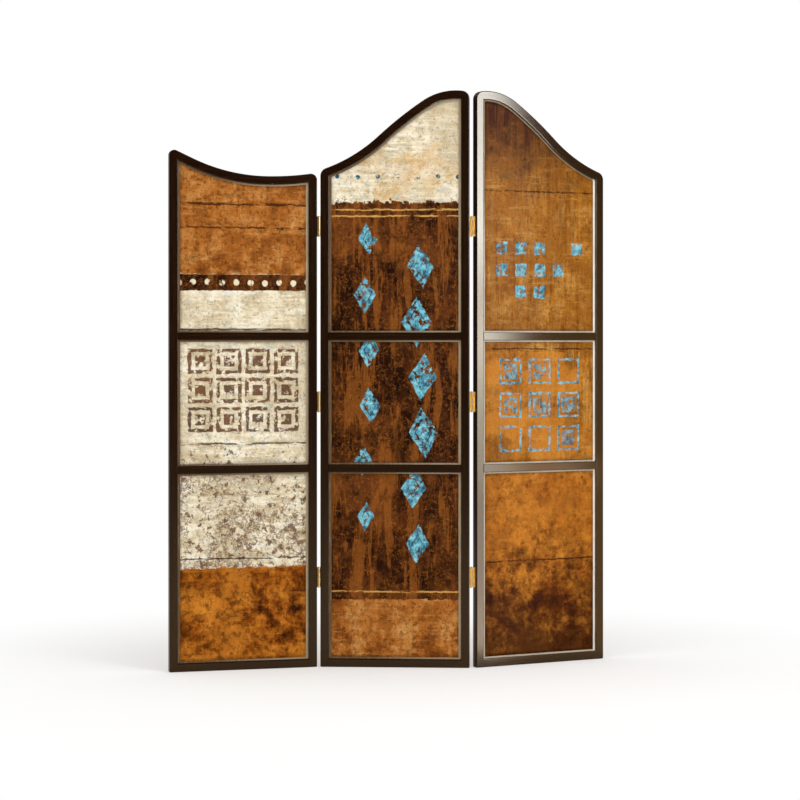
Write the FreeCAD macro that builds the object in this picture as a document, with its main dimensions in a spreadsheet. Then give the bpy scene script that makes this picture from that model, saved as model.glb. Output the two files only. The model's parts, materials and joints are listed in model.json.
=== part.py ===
import FreeCAD, Part
import math
import os
import Sketcher

# Three-panel wooden folding screen, in millimetres, +Z up.
# The centre panel stands along X with its front towards -Y. The origin is on the floor,
# in the middle of the centre panel. Each panel is modelled in its own frame, with x from
# its left edge, y from the middle of its thickness and z from the floor, and is then
# turned about its hinge pins into the zigzag in which the screen stands.

# Driving sizes: name, value and what it is
SIZES = (
    ("panel_width", 474, "width of each of the three panels"),
    ("frame_width", 27, "face width of stiles and rails"),
    ("frame_thickness", 25, "thickness of stiles, rails and crossbars"),
    ("peak_height", 1829, "highest point of the screen"),
    ("arris_radius", 3, "rounding of the long edges of the frame"),
    ("crossbar_height", 25, "face height of a crossbar"),
    ("upper_crossbar_level", 1050, "middle of the upper crossbar above the floor"),
    ("lower_crossbar_level", 631, "middle of the lower crossbar above the floor"),
    ("crossbar_arris_radius", 2, "rounding of the long edges of a crossbar"),
    ("groove_depth", 6, "depth of the groove that holds the boards"),
    ("tenon_thickness", 9, "thickness of a crossbar's tenon"),
    ("tenon_height", 12, "height of a crossbar's tenon"),
    ("tenon_length", 16, "length of a crossbar's tenon"),
    ("joint_play", 0.2, "play of a tenon or spline in its hole, each side"),
    ("board_thickness", 7, "thickness of a picture board"),
    ("board_play", 0.15, "play of a board in its groove, each face"),
    ("board_gap", 0.5, "gap between a board's edge and the bottom of its groove"),
    ("side_margin", 8, "board margin that shows beside a canvas"),
    ("level_margin", 5, "board margin that shows above and below a canvas"),
    ("canvas_thickness", 0.8, "thickness of a canvas glued to a board"),
    ("spline_thickness", 4, "thickness of a mitre spline"),
    ("spline_length", 22, "length of a mitre spline across its mitre"),
    ("spline_cover", 2.7, "wood between a mitre spline and the outer faces of a square corner"),
    ("foot_corner_radius", 4, "outer rounding of the bottom corners"),
    ("hollow_start_angle", 17.7, "slope of the ogee at its low end"),
    ("steepest_angle", 42.65, "steepest slope of the ogee"),
    ("shoulder_angle", 34, "slope where the flank of the ogee meets its crown"),
    ("hollow_share", 1.044, "radius of the hollow part of the ogee, to the panel's width"),
    ("flank_share", 2.51, "radius of the flank of the ogee, to the panel's width"),
    ("crown_share", 0.3945, "radius of the crown of the ogee, to the panel's width"),
    ("high_corner_radius", 26, "outer rounding of the ogee's high corner"),
    ("low_corner_radius", 26, "outer rounding of the ogee's low corner"),
    ("dip_drop", 22.5, "how far the left panel's top dips below the low end of the ogee"),
    ("dip_distance_share", 0.6585, "how far its lowest point lies from the free edge, to the width"),
    ("dip_slope_angle", 24.6, "slope of its straight stretch at the free edge"),
    ("dip_steep_share", 1.2025, "radius of its hollow beside the straight stretch, to the width"),
    ("dip_flat_share", 2.004, "radius of its hollow beside the hinges, to the width"),
    ("free_corner_radius", 16, "outer rounding of its corner at the free edge"),
    ("hinge_corner_radius", 20, "outer rounding of its corner at the hinges"),
    ("left_fold_angle", 18.8, "how far the left panel stands folded forward"),
    ("right_fold_angle", 30.8, "how far the right panel stands folded backward"),
    ("knuckle_radius", 4.5, "outer radius of a hinge knuckle, half the gap between stiles"),
    ("pin_proud", 2, "how far the pin's axis stands out from the frame's face"),
    ("pin_radius", 2, "radius of a hinge pin"),
    ("pin_play", 0.05, "radial play of a pin in its knuckles"),
    ("pin_head_radius", 3.2, "radius of the domed head of a pin"),
    ("pin_head_height", 2, "height of the domed head of a pin"),
    ("hinge_height", 63.5, "height of a hinge"),
    ("knuckle_gap", 0.4, "gap between one knuckle and the next"),
    ("leaf_thickness", 1.5, "thickness of a hinge leaf"),
    ("leaf_depth", 18, "reach of a leaf from the pin's axis"),
    ("leaf_clearance", 0.6, "clearance of a leaf from the other leaf's knuckles"),
    ("hinge_low_level", 285, "middle of the lowest hinge above the floor"),
    ("hinge_high_drop", 179.3, "middle of the highest hinge below the low end of the ogee"),
    ("screw_spacing", 21, "distance from one screw of a leaf to the next"),
    ("screw_setback", 11.5, "distance of the screws from the pin's axis"),
    ("screw_radius", 1.5, "radius of a screw's shank"),
    ("screw_head_radius", 2.9, "radius of a screw's head"),
    ("screw_length", 14, "length of a screw with its head"),
    ("screw_play", 0.05, "radial play of a screw in its hole"),
    ("slot_width", 0.8, "width of the driver slot in a screw's head"),
    ("slot_depth", 0.9, "depth of the driver slot in a screw's head"),
    ("overrun", 2, "how far a cut runs past the wood"),
)
HINGE_COUNT = 3
SCREWS_PER_LEAF = 3
KNUCKLES = 5

# Lengths that differ by less are the same, and so are volumes that differ by less than this share
NO_LENGTH = 1e-6
NO_CHANGE_SHARE = 1e-9

DOC = FreeCAD.newDocument("FoldingScreen")


class Size:
    """A size with its value and the text that the document recomputes it from."""

    def __init__(self, text, value):
        self.text = text
        self.value = value

    def __add__(self, other):
        return joined(self, "+", other, lambda a, b: a + b)

    def __sub__(self, other):
        return joined(self, "-", other, lambda a, b: a - b)

    def __mul__(self, other):
        return joined(self, "*", other, lambda a, b: a * b)

    def __truediv__(self, other):
        return joined(self, "/", other, lambda a, b: a / b)

    def __radd__(self, other):
        return as_size(other) + self

    def __rsub__(self, other):
        return as_size(other) - self

    def __rmul__(self, other):
        return as_size(other) * self

    def __neg__(self):
        return as_size(0) - self


def as_size(number):
    if isinstance(number, Size):
        return number
    return Size(repr(number), number)


def joined(first, sign, second, work):
    first = as_size(first)
    second = as_size(second)
    return Size(f"({first.text} {sign} {second.text})", work(first.value, second.value))


def sine(angle):
    return Size(f"sin({angle.text})", math.sin(math.radians(angle.value)))


def cosine(angle):
    return Size(f"cos({angle.text})", math.cos(math.radians(angle.value)))


def tangent(angle):
    return Size(f"tan({angle.text})", math.tan(math.radians(angle.value)))


def root(size):
    return Size(f"sqrt({size.text})", math.sqrt(size.value))


class Sheet:
    """The spreadsheet of driving sizes, each read as a Size by its name."""

    def __init__(self):
        self.cells = DOC.addObject("Spreadsheet::Sheet", "Sizes")
        for row, (name, value, meaning) in enumerate(SIZES, start=1):
            self.cells.set(f"A{row}", meaning)
            self.cells.set(f"B{row}", str(value))
            self.cells.setAlias(f"B{row}", name)
            setattr(self, name, Size(f"Sizes.{name}", value))
        DOC.recompute()


class Derived:
    """A second sheet, of sizes worked out from the driving ones, each named once."""

    def __init__(self):
        self.cells = DOC.addObject("Spreadsheet::Sheet", "Derived")
        self.count = 0

    def keep(self, name, size):
        self.count += 1
        self.cells.set(f"A{self.count}", name)
        self.cells.set(f"B{self.count}", f"={size.text}")
        self.cells.setAlias(f"B{self.count}", name)
        self.cells.recompute()
        return Size(f"Derived.{name}", size.value)


S = Sheet()
DERIVED = Derived()


def kept(name, size):
    return DERIVED.keep(name, size)


def kept_point(name, point):
    return kept(f"{name}_x", point[0]), kept(f"{name}_z", point[1])


# Sizes that follow from the driving ones
STILE_GAP = S.knuckle_radius * 2
GROOVE_WIDTH = S.board_thickness + S.board_play * 2
BOARD_INSET = S.frame_width - S.groove_depth + S.board_gap
CANVAS_SIDE_INSET = S.frame_width + S.side_margin
CANVAS_LEVEL_INSET = S.frame_width + S.level_margin
CANVAS_OFFSET = (S.board_thickness + S.canvas_thickness) / 2
PIN_OFFSET = S.frame_thickness / 2 + S.pin_proud
KNUCKLE_PITCH = (S.hinge_height + S.knuckle_gap) / KNUCKLES
KNUCKLE_LENGTH = KNUCKLE_PITCH - S.knuckle_gap
HOLLOW_RADIUS = kept("hollow_radius", S.panel_width * S.hollow_share)
FLANK_RADIUS = kept("flank_radius", S.panel_width * S.flank_share)
CROWN_RADIUS = kept("crown_radius", S.panel_width * S.crown_share)
DIP_DISTANCE = kept("dip_distance", S.panel_width * S.dip_distance_share)
DIP_STEEP_RADIUS = kept("dip_steep_radius", S.panel_width * S.dip_steep_share)
DIP_FLAT_RADIUS = kept("dip_flat_radius", S.panel_width * S.dip_flat_share)


# Outlines of the panels' tops
# A top is a chain of points and edges from the left edge of a panel to its right edge.
# Each chain can be asked for at any inset, measured square to the curve, and any side margin.
# An edge is None for a straight line, or (radius, +1) with its centre above and
# (radius, -1) with its centre below.


def ogee_places():
    """Where the arcs of the ogee have their centres and meet, at its outer edge."""
    flank_x = HOLLOW_RADIUS * (sine(S.steepest_angle) - sine(S.hollow_start_angle))
    crown_x = flank_x + FLANK_RADIUS * (sine(S.steepest_angle) - sine(S.shoulder_angle))
    centre_z = S.peak_height - CROWN_RADIUS
    crown_z = centre_z + CROWN_RADIUS * cosine(S.shoulder_angle)
    flank_z = crown_z - FLANK_RADIUS * (cosine(S.shoulder_angle) - cosine(S.steepest_angle))
    places = {
        "flank_start_x": flank_x,
        "flank_start_z": flank_z,
        "crown_start_x": crown_x,
        "crown_start_z": crown_z,
        "crown_centre_x": crown_x + CROWN_RADIUS * sine(S.shoulder_angle),
        "crown_centre_z": centre_z,
        "hollow_centre_x": -(HOLLOW_RADIUS * sine(S.hollow_start_angle)),
        "hollow_centre_z": flank_z + HOLLOW_RADIUS * cosine(S.steepest_angle),
    }
    return {name: kept(name, size) for name, size in places.items()}


OGEE = ogee_places()


def reach(radius, offset):
    """How far a circle reaches up or down at a sideways offset from its centre."""
    return root(radius * radius - offset * offset)


LOW_END = OGEE["hollow_centre_z"] - reach(HOLLOW_RADIUS, OGEE["hollow_centre_x"])
DIP_LEVEL = kept("dip_level", LOW_END - S.dip_drop)
HINGE_SPACING = kept("hinge_spacing", (LOW_END - S.hinge_high_drop - S.hinge_low_level) / (HINGE_COUNT - 1))


def rising_ogee(inset, margin):
    """The centre panel's top: hollow, then a long flank, then a crown at the right edge."""
    hollow = HOLLOW_RADIUS + inset
    flank = FLANK_RADIUS - inset
    crown = CROWN_RADIUS - inset
    right = S.panel_width - margin
    low_z = OGEE["hollow_centre_z"] - reach(hollow, margin - OGEE["hollow_centre_x"])
    high_z = OGEE["crown_centre_z"] + reach(crown, right - OGEE["crown_centre_x"])
    flank_start = square_in(OGEE["flank_start_x"], OGEE["flank_start_z"], S.steepest_angle, inset)
    crown_start = square_in(OGEE["crown_start_x"], OGEE["crown_start_z"], S.shoulder_angle, inset)
    points = [(margin, low_z), flank_start, crown_start, (right, high_z)]
    edges = [(hollow, 1), (flank, -1), (crown, -1)]
    return points, edges


def falling_ogee(inset, margin):
    """The right panel's top: the centre panel's top, mirrored."""
    points, edges = rising_ogee(inset, margin)
    mirrored = [(S.panel_width - x, z) for x, z in reversed(points)]
    return mirrored, edges[::-1]


def dipping_top(inset, margin):
    """The left panel's top: a straight slope, then a hollow of two radii."""
    steep = DIP_STEEP_RADIUS + inset
    flat = DIP_FLAT_RADIUS + inset
    slope_end_x = DIP_DISTANCE - steep * sine(S.dip_slope_angle)
    slope_end_z = DIP_LEVEL + DIP_STEEP_RADIUS - steep * cosine(S.dip_slope_angle)
    slope_start_z = slope_end_z + (slope_end_x - margin) * tangent(S.dip_slope_angle)
    right = S.panel_width - margin
    right_z = DIP_LEVEL + DIP_FLAT_RADIUS - reach(flat, right - DIP_DISTANCE)
    points = [
        (margin, slope_start_z),
        (slope_end_x, slope_end_z),
        (DIP_DISTANCE, DIP_LEVEL - inset),
        (right, right_z),
    ]
    edges = [None, (steep, 1), (flat, 1)]
    return points, edges


def square_in(x, z, slope, inset):
    """A point moved into the wood, square to a rising slope."""
    return x + inset * sine(slope), z - inset * cosine(slope)


PANELS = {
    "left": {
        "top": dipping_top,
        "stiles": ("left_outer_stile", "left_hinge_stile"),
        "hinged": (None, -1),
        "corners": (S.free_corner_radius, S.hinge_corner_radius),
    },
    "centre": {
        "top": rising_ogee,
        "stiles": ("centre_left_stile", "centre_right_stile"),
        "hinged": (-1, 1),
        "corners": (S.low_corner_radius, S.high_corner_radius),
    },
    "right": {
        "top": falling_ogee,
        "stiles": ("right_hinge_stile", "right_outer_stile"),
        "hinged": (1, None),
        "corners": (S.high_corner_radius, S.low_corner_radius),
    },
}

# Where each panel's pin axis lies, in the row frame and in the panel's own frame
LEFT_PIN = (-(S.panel_width + STILE_GAP) / 2, -PIN_OFFSET)
RIGHT_PIN = ((S.panel_width + STILE_GAP) / 2, PIN_OFFSET)
LEFT_PANEL_PIN = (S.panel_width + STILE_GAP / 2, -PIN_OFFSET)
RIGHT_PANEL_PIN = (-(STILE_GAP / 2), PIN_OFFSET)


def turned_base(pin, local_pin, angle):
    """Where a piece's own origin lands when its pin is put on the hinge's pin and it is turned."""
    x = pin[0] - (local_pin[0] * cosine(angle) - local_pin[1] * sine(angle))
    y = pin[1] - (local_pin[0] * sine(angle) + local_pin[1] * cosine(angle))
    return x, y, angle


PLACES = {
    "left": turned_base(LEFT_PIN, LEFT_PANEL_PIN, S.left_fold_angle),
    "centre": (-S.panel_width / 2, as_size(0), as_size(0)),
    "right": turned_base(RIGHT_PIN, RIGHT_PANEL_PIN, S.right_fold_angle),
}


# Helpers that make bodies, sketches and features


def new_body(label, place):
    body = DOC.addObject("PartDesign::Body", label)
    body.Label = label
    x, y, angle = place
    body.setExpression("Placement.Base.x", x.text)
    body.setExpression("Placement.Base.y", y.text)
    body.setExpression("Placement.Rotation.Angle", angle.text)
    return body


def datum(body, role):
    """One of the planes and axes of a body's own frame."""
    return [part for part in body.Origin.OriginFeatures if part.Role == role][0]


def new_sketch(body, name, role="XZ_Plane", offset=None):
    sketch = body.newObject("Sketcher::SketchObject", name)
    sketch.AttachmentSupport = [(datum(body, role), "")]
    sketch.MapMode = "FlatFace"
    if offset is not None:
        sketch.setExpression("AttachmentOffset.Base.z", offset.text)
    return sketch


def vector(point):
    return FreeCAD.Vector(as_size(point[0]).value, as_size(point[1]).value, 0)


def arc_middle(start, end, radius, side):
    """The middle of an arc whose centre lies above the chord for side 1, below it for -1."""
    chord = end - start
    normal = FreeCAD.Vector(-chord.y, chord.x, 0)
    if normal.y * side < 0:
        normal = -normal
    normal.normalize()
    half = chord.Length / 2
    sagitta = radius - math.sqrt(radius * radius - half * half)
    return (start + end) / 2 - normal * sagitta


def bind_point(sketch, geometry, position, point):
    for kind, size in zip(("DistanceX", "DistanceY"), point):
        size = as_size(size)
        number = sketch.addConstraint(Sketcher.Constraint(kind, -1, 1, geometry, position, size.value))
        sketch.renameConstraint(number, f"{kind}{number}")
        sketch.setExpression(f"Constraints.{kind}{number}", size.text)


def bind_radius(sketch, geometry, radius):
    number = sketch.addConstraint(Sketcher.Constraint("Radius", geometry, radius.value))
    sketch.renameConstraint(number, f"Radius{number}")
    sketch.setExpression(f"Constraints.Radius{number}", radius.text)


def add_loop(sketch, points, edges=None):
    """A closed loop whose edges are lines, or arcs where edges says so."""
    count = len(points)
    edges = list(edges or [])
    edges += [None] * (count - len(edges))
    ends = []
    for index in range(count):
        start = vector(points[index])
        end = vector(points[(index + 1) % count])
        if edges[index] is None:
            geometry = sketch.addGeometry(Part.LineSegment(start, end))
        else:
            radius, side = edges[index]
            middle = arc_middle(start, end, radius.value, side)
            geometry = sketch.addGeometry(Part.Arc(start, middle, end))
            bind_radius(sketch, geometry, radius)
        first, last = (sketch.getPoint(geometry, end).distanceToPoint(start) for end in (1, 2))
        ends.append((geometry, 1, 2) if first < last else (geometry, 2, 1))
    for index in range(count):
        before = ends[index - 1]
        after = ends[index]
        sketch.addConstraint(Sketcher.Constraint("Coincident", before[0], before[2], after[0], after[1]))
        bind_point(sketch, after[0], after[1], points[index])


def add_rectangle(sketch, left, bottom, right, top):
    add_loop(sketch, [(left, bottom), (right, bottom), (right, top), (left, top)])


def add_circle(sketch, centre, radius):
    circle = Part.Circle(vector(centre), FreeCAD.Vector(0, 0, 1), radius.value)
    geometry = sketch.addGeometry(circle)
    bind_radius(sketch, geometry, radius)
    bind_point(sketch, geometry, 3, centre)


def add_feature(body, kind, sketch, length, symmetric=True, away=False):
    feature = body.newObject(f"PartDesign::{kind}", f"{body.Label}_{kind}")
    feature.Profile = sketch
    feature.SideType = "Symmetric" if symmetric else "One side"
    feature.Reversed = away
    feature.setExpression("Length", as_size(length).text)
    sketch.Visibility = False
    return feature


def pad(body, sketch, length, symmetric=True):
    return add_feature(body, "Pad", sketch, length, symmetric)


def pocket(body, sketch, length, symmetric=True, away=False):
    """A cut that has to remove something."""
    DOC.recompute()
    volume = body.Shape.Volume
    feature = add_feature(body, "Pocket", sketch, length, symmetric, away)
    DOC.recompute()
    stop_if_uncut(feature, body, volume)
    return feature


def stop_if_uncut(feature, body, volume):
    if body.Shape.Volume > volume * (1 - NO_CHANGE_SHARE):
        raise RuntimeError(f"{feature.Label} cuts nothing")


def long_edges(shape, wanted):
    """Names of the edges that lie flat on the front or the back face and that wanted accepts."""
    names = []
    half = S.frame_thickness.value / 2
    for number, edge in enumerate(shape.Edges, start=1):
        box = edge.BoundBox
        flat = box.YLength < NO_LENGTH and abs(abs(box.YMin) - half) < NO_LENGTH
        if flat and wanted(edge):
            names.append(f"Edge{number}")
    return names


def round_edges(body, radius, wanted):
    DOC.recompute()
    base = body.Tip
    names = long_edges(base.Shape, wanted)
    fillet = body.newObject("PartDesign::Fillet", f"{body.Label}_Fillet")
    fillet.Base = (base, names)
    fillet.setExpression("Radius", radius.text)
    return fillet


# Corners of a panel
# At each corner the mitre runs from the inner corner to the middle of the outer rounding.


class Corner:
    """One corner of a panel's frame: its rounding, its mitre and the directions along it."""

    def __init__(self, name, radius, centre, inner, crest, side_point):
        self.radius = radius
        self.crest = crest
        self.side_point = side_point
        self.inner = kept_point(f"{name}_inner", inner)
        centre = kept_point(f"{name}_centre", centre)
        across_x = centre[0] - self.inner[0]
        across_z = centre[1] - self.inner[1]
        length = kept(f"{name}_reach", root(across_x * across_x + across_z * across_z))
        self.along = kept_point(f"{name}_along", (across_x / length, across_z / length))
        self.outer = kept_point(f"{name}_outer", (centre[0] + radius * self.along[0],
                                                  centre[1] + radius * self.along[1]))

    def mitre_middle(self):
        return (vector(self.inner) + vector(self.outer)) / 2

    def spot(self, distance, sideways):
        """A point at a distance from the inner corner along the mitre, and sideways from it."""
        x = self.inner[0] + distance * self.along[0] - sideways * self.along[1]
        z = self.inner[1] + distance * self.along[1] + sideways * self.along[0]
        return x, z


def top_corner(name, side, top, radius):
    """A top corner: side 0 is the left one and side -1 the right one."""
    points, edges = top(radius, radius)
    centre = kept_point(f"{name}_round", points[side])
    inner = top(S.frame_width, S.frame_width)[0][side]
    edge_x = as_size(0) if side == 0 else S.panel_width
    crest = crest_point(top, side, centre, radius, edges[side])
    return Corner(name, radius, centre, inner, crest, (edge_x, centre[1]))


def crest_point(top, side, centre, radius, edge):
    """Where a corner's rounding meets the top's outer edge."""
    if edge is None:
        slope = S.dip_slope_angle
        return centre[0] + radius * sine(slope), centre[1] + radius * cosine(slope)
    ring, way = edge
    hub = top_hub(top, side)
    share = radius / ring * way
    return centre[0] + (hub[0] - centre[0]) * share, centre[1] + (hub[1] - centre[1]) * share


def top_hub(top, side):
    """The centre of the arc at one end of a top."""
    if top is dipping_top:
        return DIP_DISTANCE, DIP_LEVEL + DIP_FLAT_RADIUS
    low = (side == 0) == (top is rising_ogee)
    hub = (OGEE["hollow_centre_x"], OGEE["hollow_centre_z"])
    if not low:
        hub = (OGEE["crown_centre_x"], OGEE["crown_centre_z"])
    if top is falling_ogee:
        hub = (S.panel_width - hub[0], hub[1])
    return hub


def bottom_corner(name, side):
    radius = S.foot_corner_radius
    width = S.frame_width
    if side == 0:
        centre = (radius, radius)
        inner = (width, width)
        edge_x = as_size(0)
    else:
        centre = (S.panel_width - radius, radius)
        inner = (S.panel_width - width, width)
        edge_x = S.panel_width
    return Corner(name, radius, centre, inner, (centre[0], as_size(0)), (edge_x, radius))


# Frame members


def stile(label, place, bottom, top, mortise_side, hinge_side):
    """An upright, from its bottom mitre to its top mitre."""
    body = new_body(label, place)
    points = [bottom.outer, bottom.side_point, top.side_point, top.outer, top.inner, bottom.inner]
    left = mortise_side > 0
    edges = [(bottom.radius, 1), None, (top.radius, -1)]
    sketch = new_sketch(body, f"{label}_outline")
    add_loop(sketch, points, edges)
    pad(body, sketch, S.frame_thickness)
    round_edges(body, S.arris_radius, off_the_mitres([bottom, top]))
    groove_start = S.frame_width - S.groove_depth
    groove_end = S.frame_width + S.overrun
    groove = new_sketch(body, f"{label}_groove")
    add_rectangle(groove, *span(groove_start, groove_end, left, (as_size(0), S.peak_height)))
    pocket(body, groove, GROOVE_WIDTH)
    for level in (S.lower_crossbar_level, S.upper_crossbar_level):
        reach_in = S.frame_width - S.tenon_length - S.joint_play
        half = S.tenon_height / 2 + S.joint_play
        mortise = new_sketch(body, f"{label}_mortise")
        add_rectangle(mortise, *span(reach_in, groove_end, left, (level - half, level + half)))
        pocket(body, mortise, S.tenon_thickness + S.joint_play * 2)
    cut_spline_slots(body, [bottom, top])
    if hinge_side is not None:
        drill_pilot_holes(body, left, hinge_side)
    return body


def span(near, far, left, levels):
    """Left, bottom, right and top of a box between two distances from a panel's own edge."""
    if left:
        return near, levels[0], far, levels[1]
    return S.panel_width - far, levels[0], S.panel_width - near, levels[1]


def off_the_mitres(corners):
    """Accepts each edge but those along the mitres."""
    middles = [corner.mitre_middle() for corner in corners]

    def wanted(edge):
        middle = (edge.Vertexes[0].Point + edge.Vertexes[-1].Point) / 2
        flat = FreeCAD.Vector(middle.x, middle.z, 0)
        return all(flat.distanceToPoint(other) > S.joint_play.value for other in middles)

    return wanted


def cut_spline_slots(body, corners):
    for corner in corners:
        sketch = new_sketch(body, f"{body.Label}_slot")
        add_loop(sketch, spline_outline(corner, S.joint_play))
        pocket(body, sketch, S.spline_thickness + S.joint_play * 2)


def spline_outline(corner, play):
    """The outline of a spline across a mitre, from just outside the grooves, grown by a play."""
    diagonal = root(as_size(2))
    half = S.spline_length / 2
    start = (S.groove_depth + S.overrun) * diagonal - play
    end = (S.frame_width - S.spline_cover) * diagonal - half + play
    sideways = half + play
    return [corner.spot(start, -sideways), corner.spot(end, -sideways),
            corner.spot(end, sideways), corner.spot(start, sideways)]


def screw_levels():
    for hinge in range(HINGE_COUNT):
        for screw in range(SCREWS_PER_LEAF):
            middle = S.hinge_low_level + HINGE_SPACING * hinge
            yield middle + S.screw_spacing * (screw - (SCREWS_PER_LEAF - 1) / 2)


def drill_pilot_holes(body, left, hinge_side):
    """Holes for the hinge screws, in the outer edge of a stile."""
    face = as_size(0) if left else S.panel_width
    sketch = new_sketch(body, f"{body.Label}_pilots", "YZ_Plane", face)
    setback = (PIN_OFFSET - S.screw_setback) * hinge_side
    for level in screw_levels():
        add_circle(sketch, (setback, level), S.screw_radius + S.screw_play)
    depth = S.screw_length - S.leaf_thickness + S.joint_play
    pocket(body, sketch, depth, symmetric=False, away=left)


def top_rail(label, place, panel, corners):
    """The sawn rail that carries the panel's curve, at one width from end to end."""
    left, right = corners
    body = new_body(label, place)
    outer_points, edges = panel["top"](as_size(0), as_size(0))
    inner_points, inner_edges = panel["top"](S.frame_width, S.frame_width)
    points = [left.outer, left.crest] + outer_points[1:-1] + [right.crest, right.outer]
    points += [right.inner] + inner_points[1:-1][::-1] + [left.inner]
    loop_edges = [(left.radius, -1)] + edges + [(right.radius, -1), None] + inner_edges[::-1]
    sketch = new_sketch(body, f"{label}_outline")
    add_loop(sketch, points, loop_edges)
    pad(body, sketch, S.frame_thickness)
    round_edges(body, S.arris_radius, off_the_mitres(corners))
    groove = new_sketch(body, f"{label}_groove")
    floor_points, floor_edges = panel["top"](S.frame_width - S.groove_depth, as_size(0))
    mouth_points, mouth_edges = panel["top"](S.frame_width + S.overrun, as_size(0))
    add_loop(groove, floor_points + mouth_points[::-1], floor_edges + [None] + mouth_edges[::-1])
    pocket(body, groove, GROOVE_WIDTH)
    cut_spline_slots(body, corners)
    return body


def bottom_rail(label, place, corners):
    left, right = corners
    body = new_body(label, place)
    points = [left.outer, left.crest, right.crest, right.outer, right.inner, left.inner]
    edges = [(left.radius, 1), None, (right.radius, 1)]
    sketch = new_sketch(body, f"{label}_outline")
    add_loop(sketch, points, edges)
    pad(body, sketch, S.frame_thickness)
    round_edges(body, S.arris_radius, off_the_mitres(corners))
    groove = new_sketch(body, f"{label}_groove")
    floor = S.frame_width - S.groove_depth
    mouth = S.frame_width + S.overrun
    add_rectangle(groove, as_size(0), floor, S.panel_width, mouth)
    pocket(body, groove, GROOVE_WIDTH)
    cut_spline_slots(body, corners)
    return body


def crossbar(label, place, level):
    """A bar across the panel, with a tenon at each end and a groove above and below."""
    body = new_body(label, place)
    left = S.frame_width
    right = S.panel_width - S.frame_width
    bottom = level - S.crossbar_height / 2
    top = level + S.crossbar_height / 2
    bar = new_sketch(body, f"{label}_bar")
    add_rectangle(bar, left, bottom, right, top)
    pad(body, bar, S.frame_thickness)
    round_edges(body, S.crossbar_arris_radius, lambda edge: edge.BoundBox.ZLength < NO_LENGTH)
    for name, low, high in (("upper", top - S.groove_depth, top + S.overrun),
                            ("lower", bottom - S.overrun, bottom + S.groove_depth)):
        groove = new_sketch(body, f"{label}_{name}_groove")
        add_rectangle(groove, left - S.overrun, low, right + S.overrun, high)
        pocket(body, groove, GROOVE_WIDTH)
    tenons = new_sketch(body, f"{label}_tenons")
    half = S.tenon_height / 2
    add_rectangle(tenons, left - S.tenon_length, level - half, right + S.tenon_length, level + half)
    pad(body, tenons, S.tenon_thickness)
    return body


def corner_splines(label, place, corners):
    """Hidden tongues that lock the four mitres."""
    body = new_body(label, place)
    for corner in corners:
        sketch = new_sketch(body, f"{label}_outline")
        add_loop(sketch, spline_outline(corner, as_size(0)))
        pad(body, sketch, S.spline_thickness)
    return body


# Boards and canvases


def opening_levels(name):
    """The bottom and the top of a panel's opening, and no top for the one under the curve."""
    half = S.crossbar_height / 2
    if name == "lower":
        return S.frame_width, S.lower_crossbar_level - half
    if name == "middle":
        return S.lower_crossbar_level + half, S.upper_crossbar_level - half
    return S.upper_crossbar_level + half, None


def filled_opening(sketch, panel, name, side_inset, level_inset):
    """The outline of what fills an opening, at one inset at its sides and one at its other edges."""
    grown = S.frame_width - level_inset
    bottom, top = opening_levels(name)
    bottom = bottom - grown
    right = S.panel_width - side_inset
    if top is not None:
        add_rectangle(sketch, side_inset, bottom, right, top + grown)
        return
    points, edges = panel["top"](level_inset, side_inset)
    points = points + [(right, bottom), (side_inset, bottom)]
    add_loop(sketch, points, edges)


def board(label, place, panel, name):
    body = new_body(label, place)
    sketch = new_sketch(body, f"{label}_outline")
    filled_opening(sketch, panel, name, BOARD_INSET, BOARD_INSET)
    pad(body, sketch, S.board_thickness)
    return body


def canvas(label, place, panel, name, offset):
    body = new_body(label, place)
    sketch = new_sketch(body, f"{label}_outline", offset=offset)
    filled_opening(sketch, panel, name, CANVAS_SIDE_INSET, CANVAS_LEVEL_INSET)
    pad(body, sketch, S.canvas_thickness)
    return body


# Hinges, each drawn in its own frame with the pin along z through the origin


def repeated(body, originals, spacing, count, whole):
    """Copies along z, of one feature or of the whole piece."""
    pattern = body.newObject("PartDesign::LinearPattern", f"{body.Label}_pattern")
    pattern.TransformMode = "Whole shape" if whole else "Features"
    if not whole:
        pattern.Originals = originals
    pattern.Direction = (datum(body, "Z_Axis"), [""])
    pattern.Mode = "Spacing"
    pattern.setExpression("Offset", spacing.text)
    pattern.Occurrences = count
    body.Tip = pattern
    DOC.recompute()
    return pattern


def knuckle_profile(sketch, side):
    """A rolled knuckle: round the pin, then straight into the leaf."""
    radius = S.knuckle_radius
    inner = radius - S.leaf_thickness
    rise = root(radius * radius - inner * inner)
    end = radius + S.leaf_clearance * 2
    outer_points = [(radius * side, as_size(0)), (radius * side, end), (inner * side, end)]
    root_point = (inner * side, rise)
    geometry = []
    stops = outer_points + [root_point]
    for start, stop in zip(stops, stops[1:]):
        geometry.append(sketch.addGeometry(Part.LineSegment(vector(start), vector(stop))))
    for before, after in zip(geometry, geometry[1:]):
        sketch.addConstraint(Sketcher.Constraint("Coincident", before, 2, after, 1))
    for line, point in zip(geometry, outer_points):
        bind_point(sketch, line, 1, point)
    far = FreeCAD.Vector(0, -radius.value, 0)
    roll = sketch.addGeometry(Part.Arc(vector(root_point), far, vector(outer_points[0])))
    forward = sketch.getPoint(roll, 1).distanceToPoint(vector(root_point)) < S.pin_play.value
    root_end, tangent_end = (1, 2) if forward else (2, 1)
    sketch.addConstraint(Sketcher.Constraint("Coincident", roll, 3, -1, 1))
    sketch.addConstraint(Sketcher.Constraint("Coincident", roll, tangent_end, geometry[0], 1))
    sketch.addConstraint(Sketcher.Constraint("Coincident", roll, root_end, geometry[-1], 2))
    sketch.addConstraint(Sketcher.Constraint("Vertical", geometry[-1]))


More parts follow.
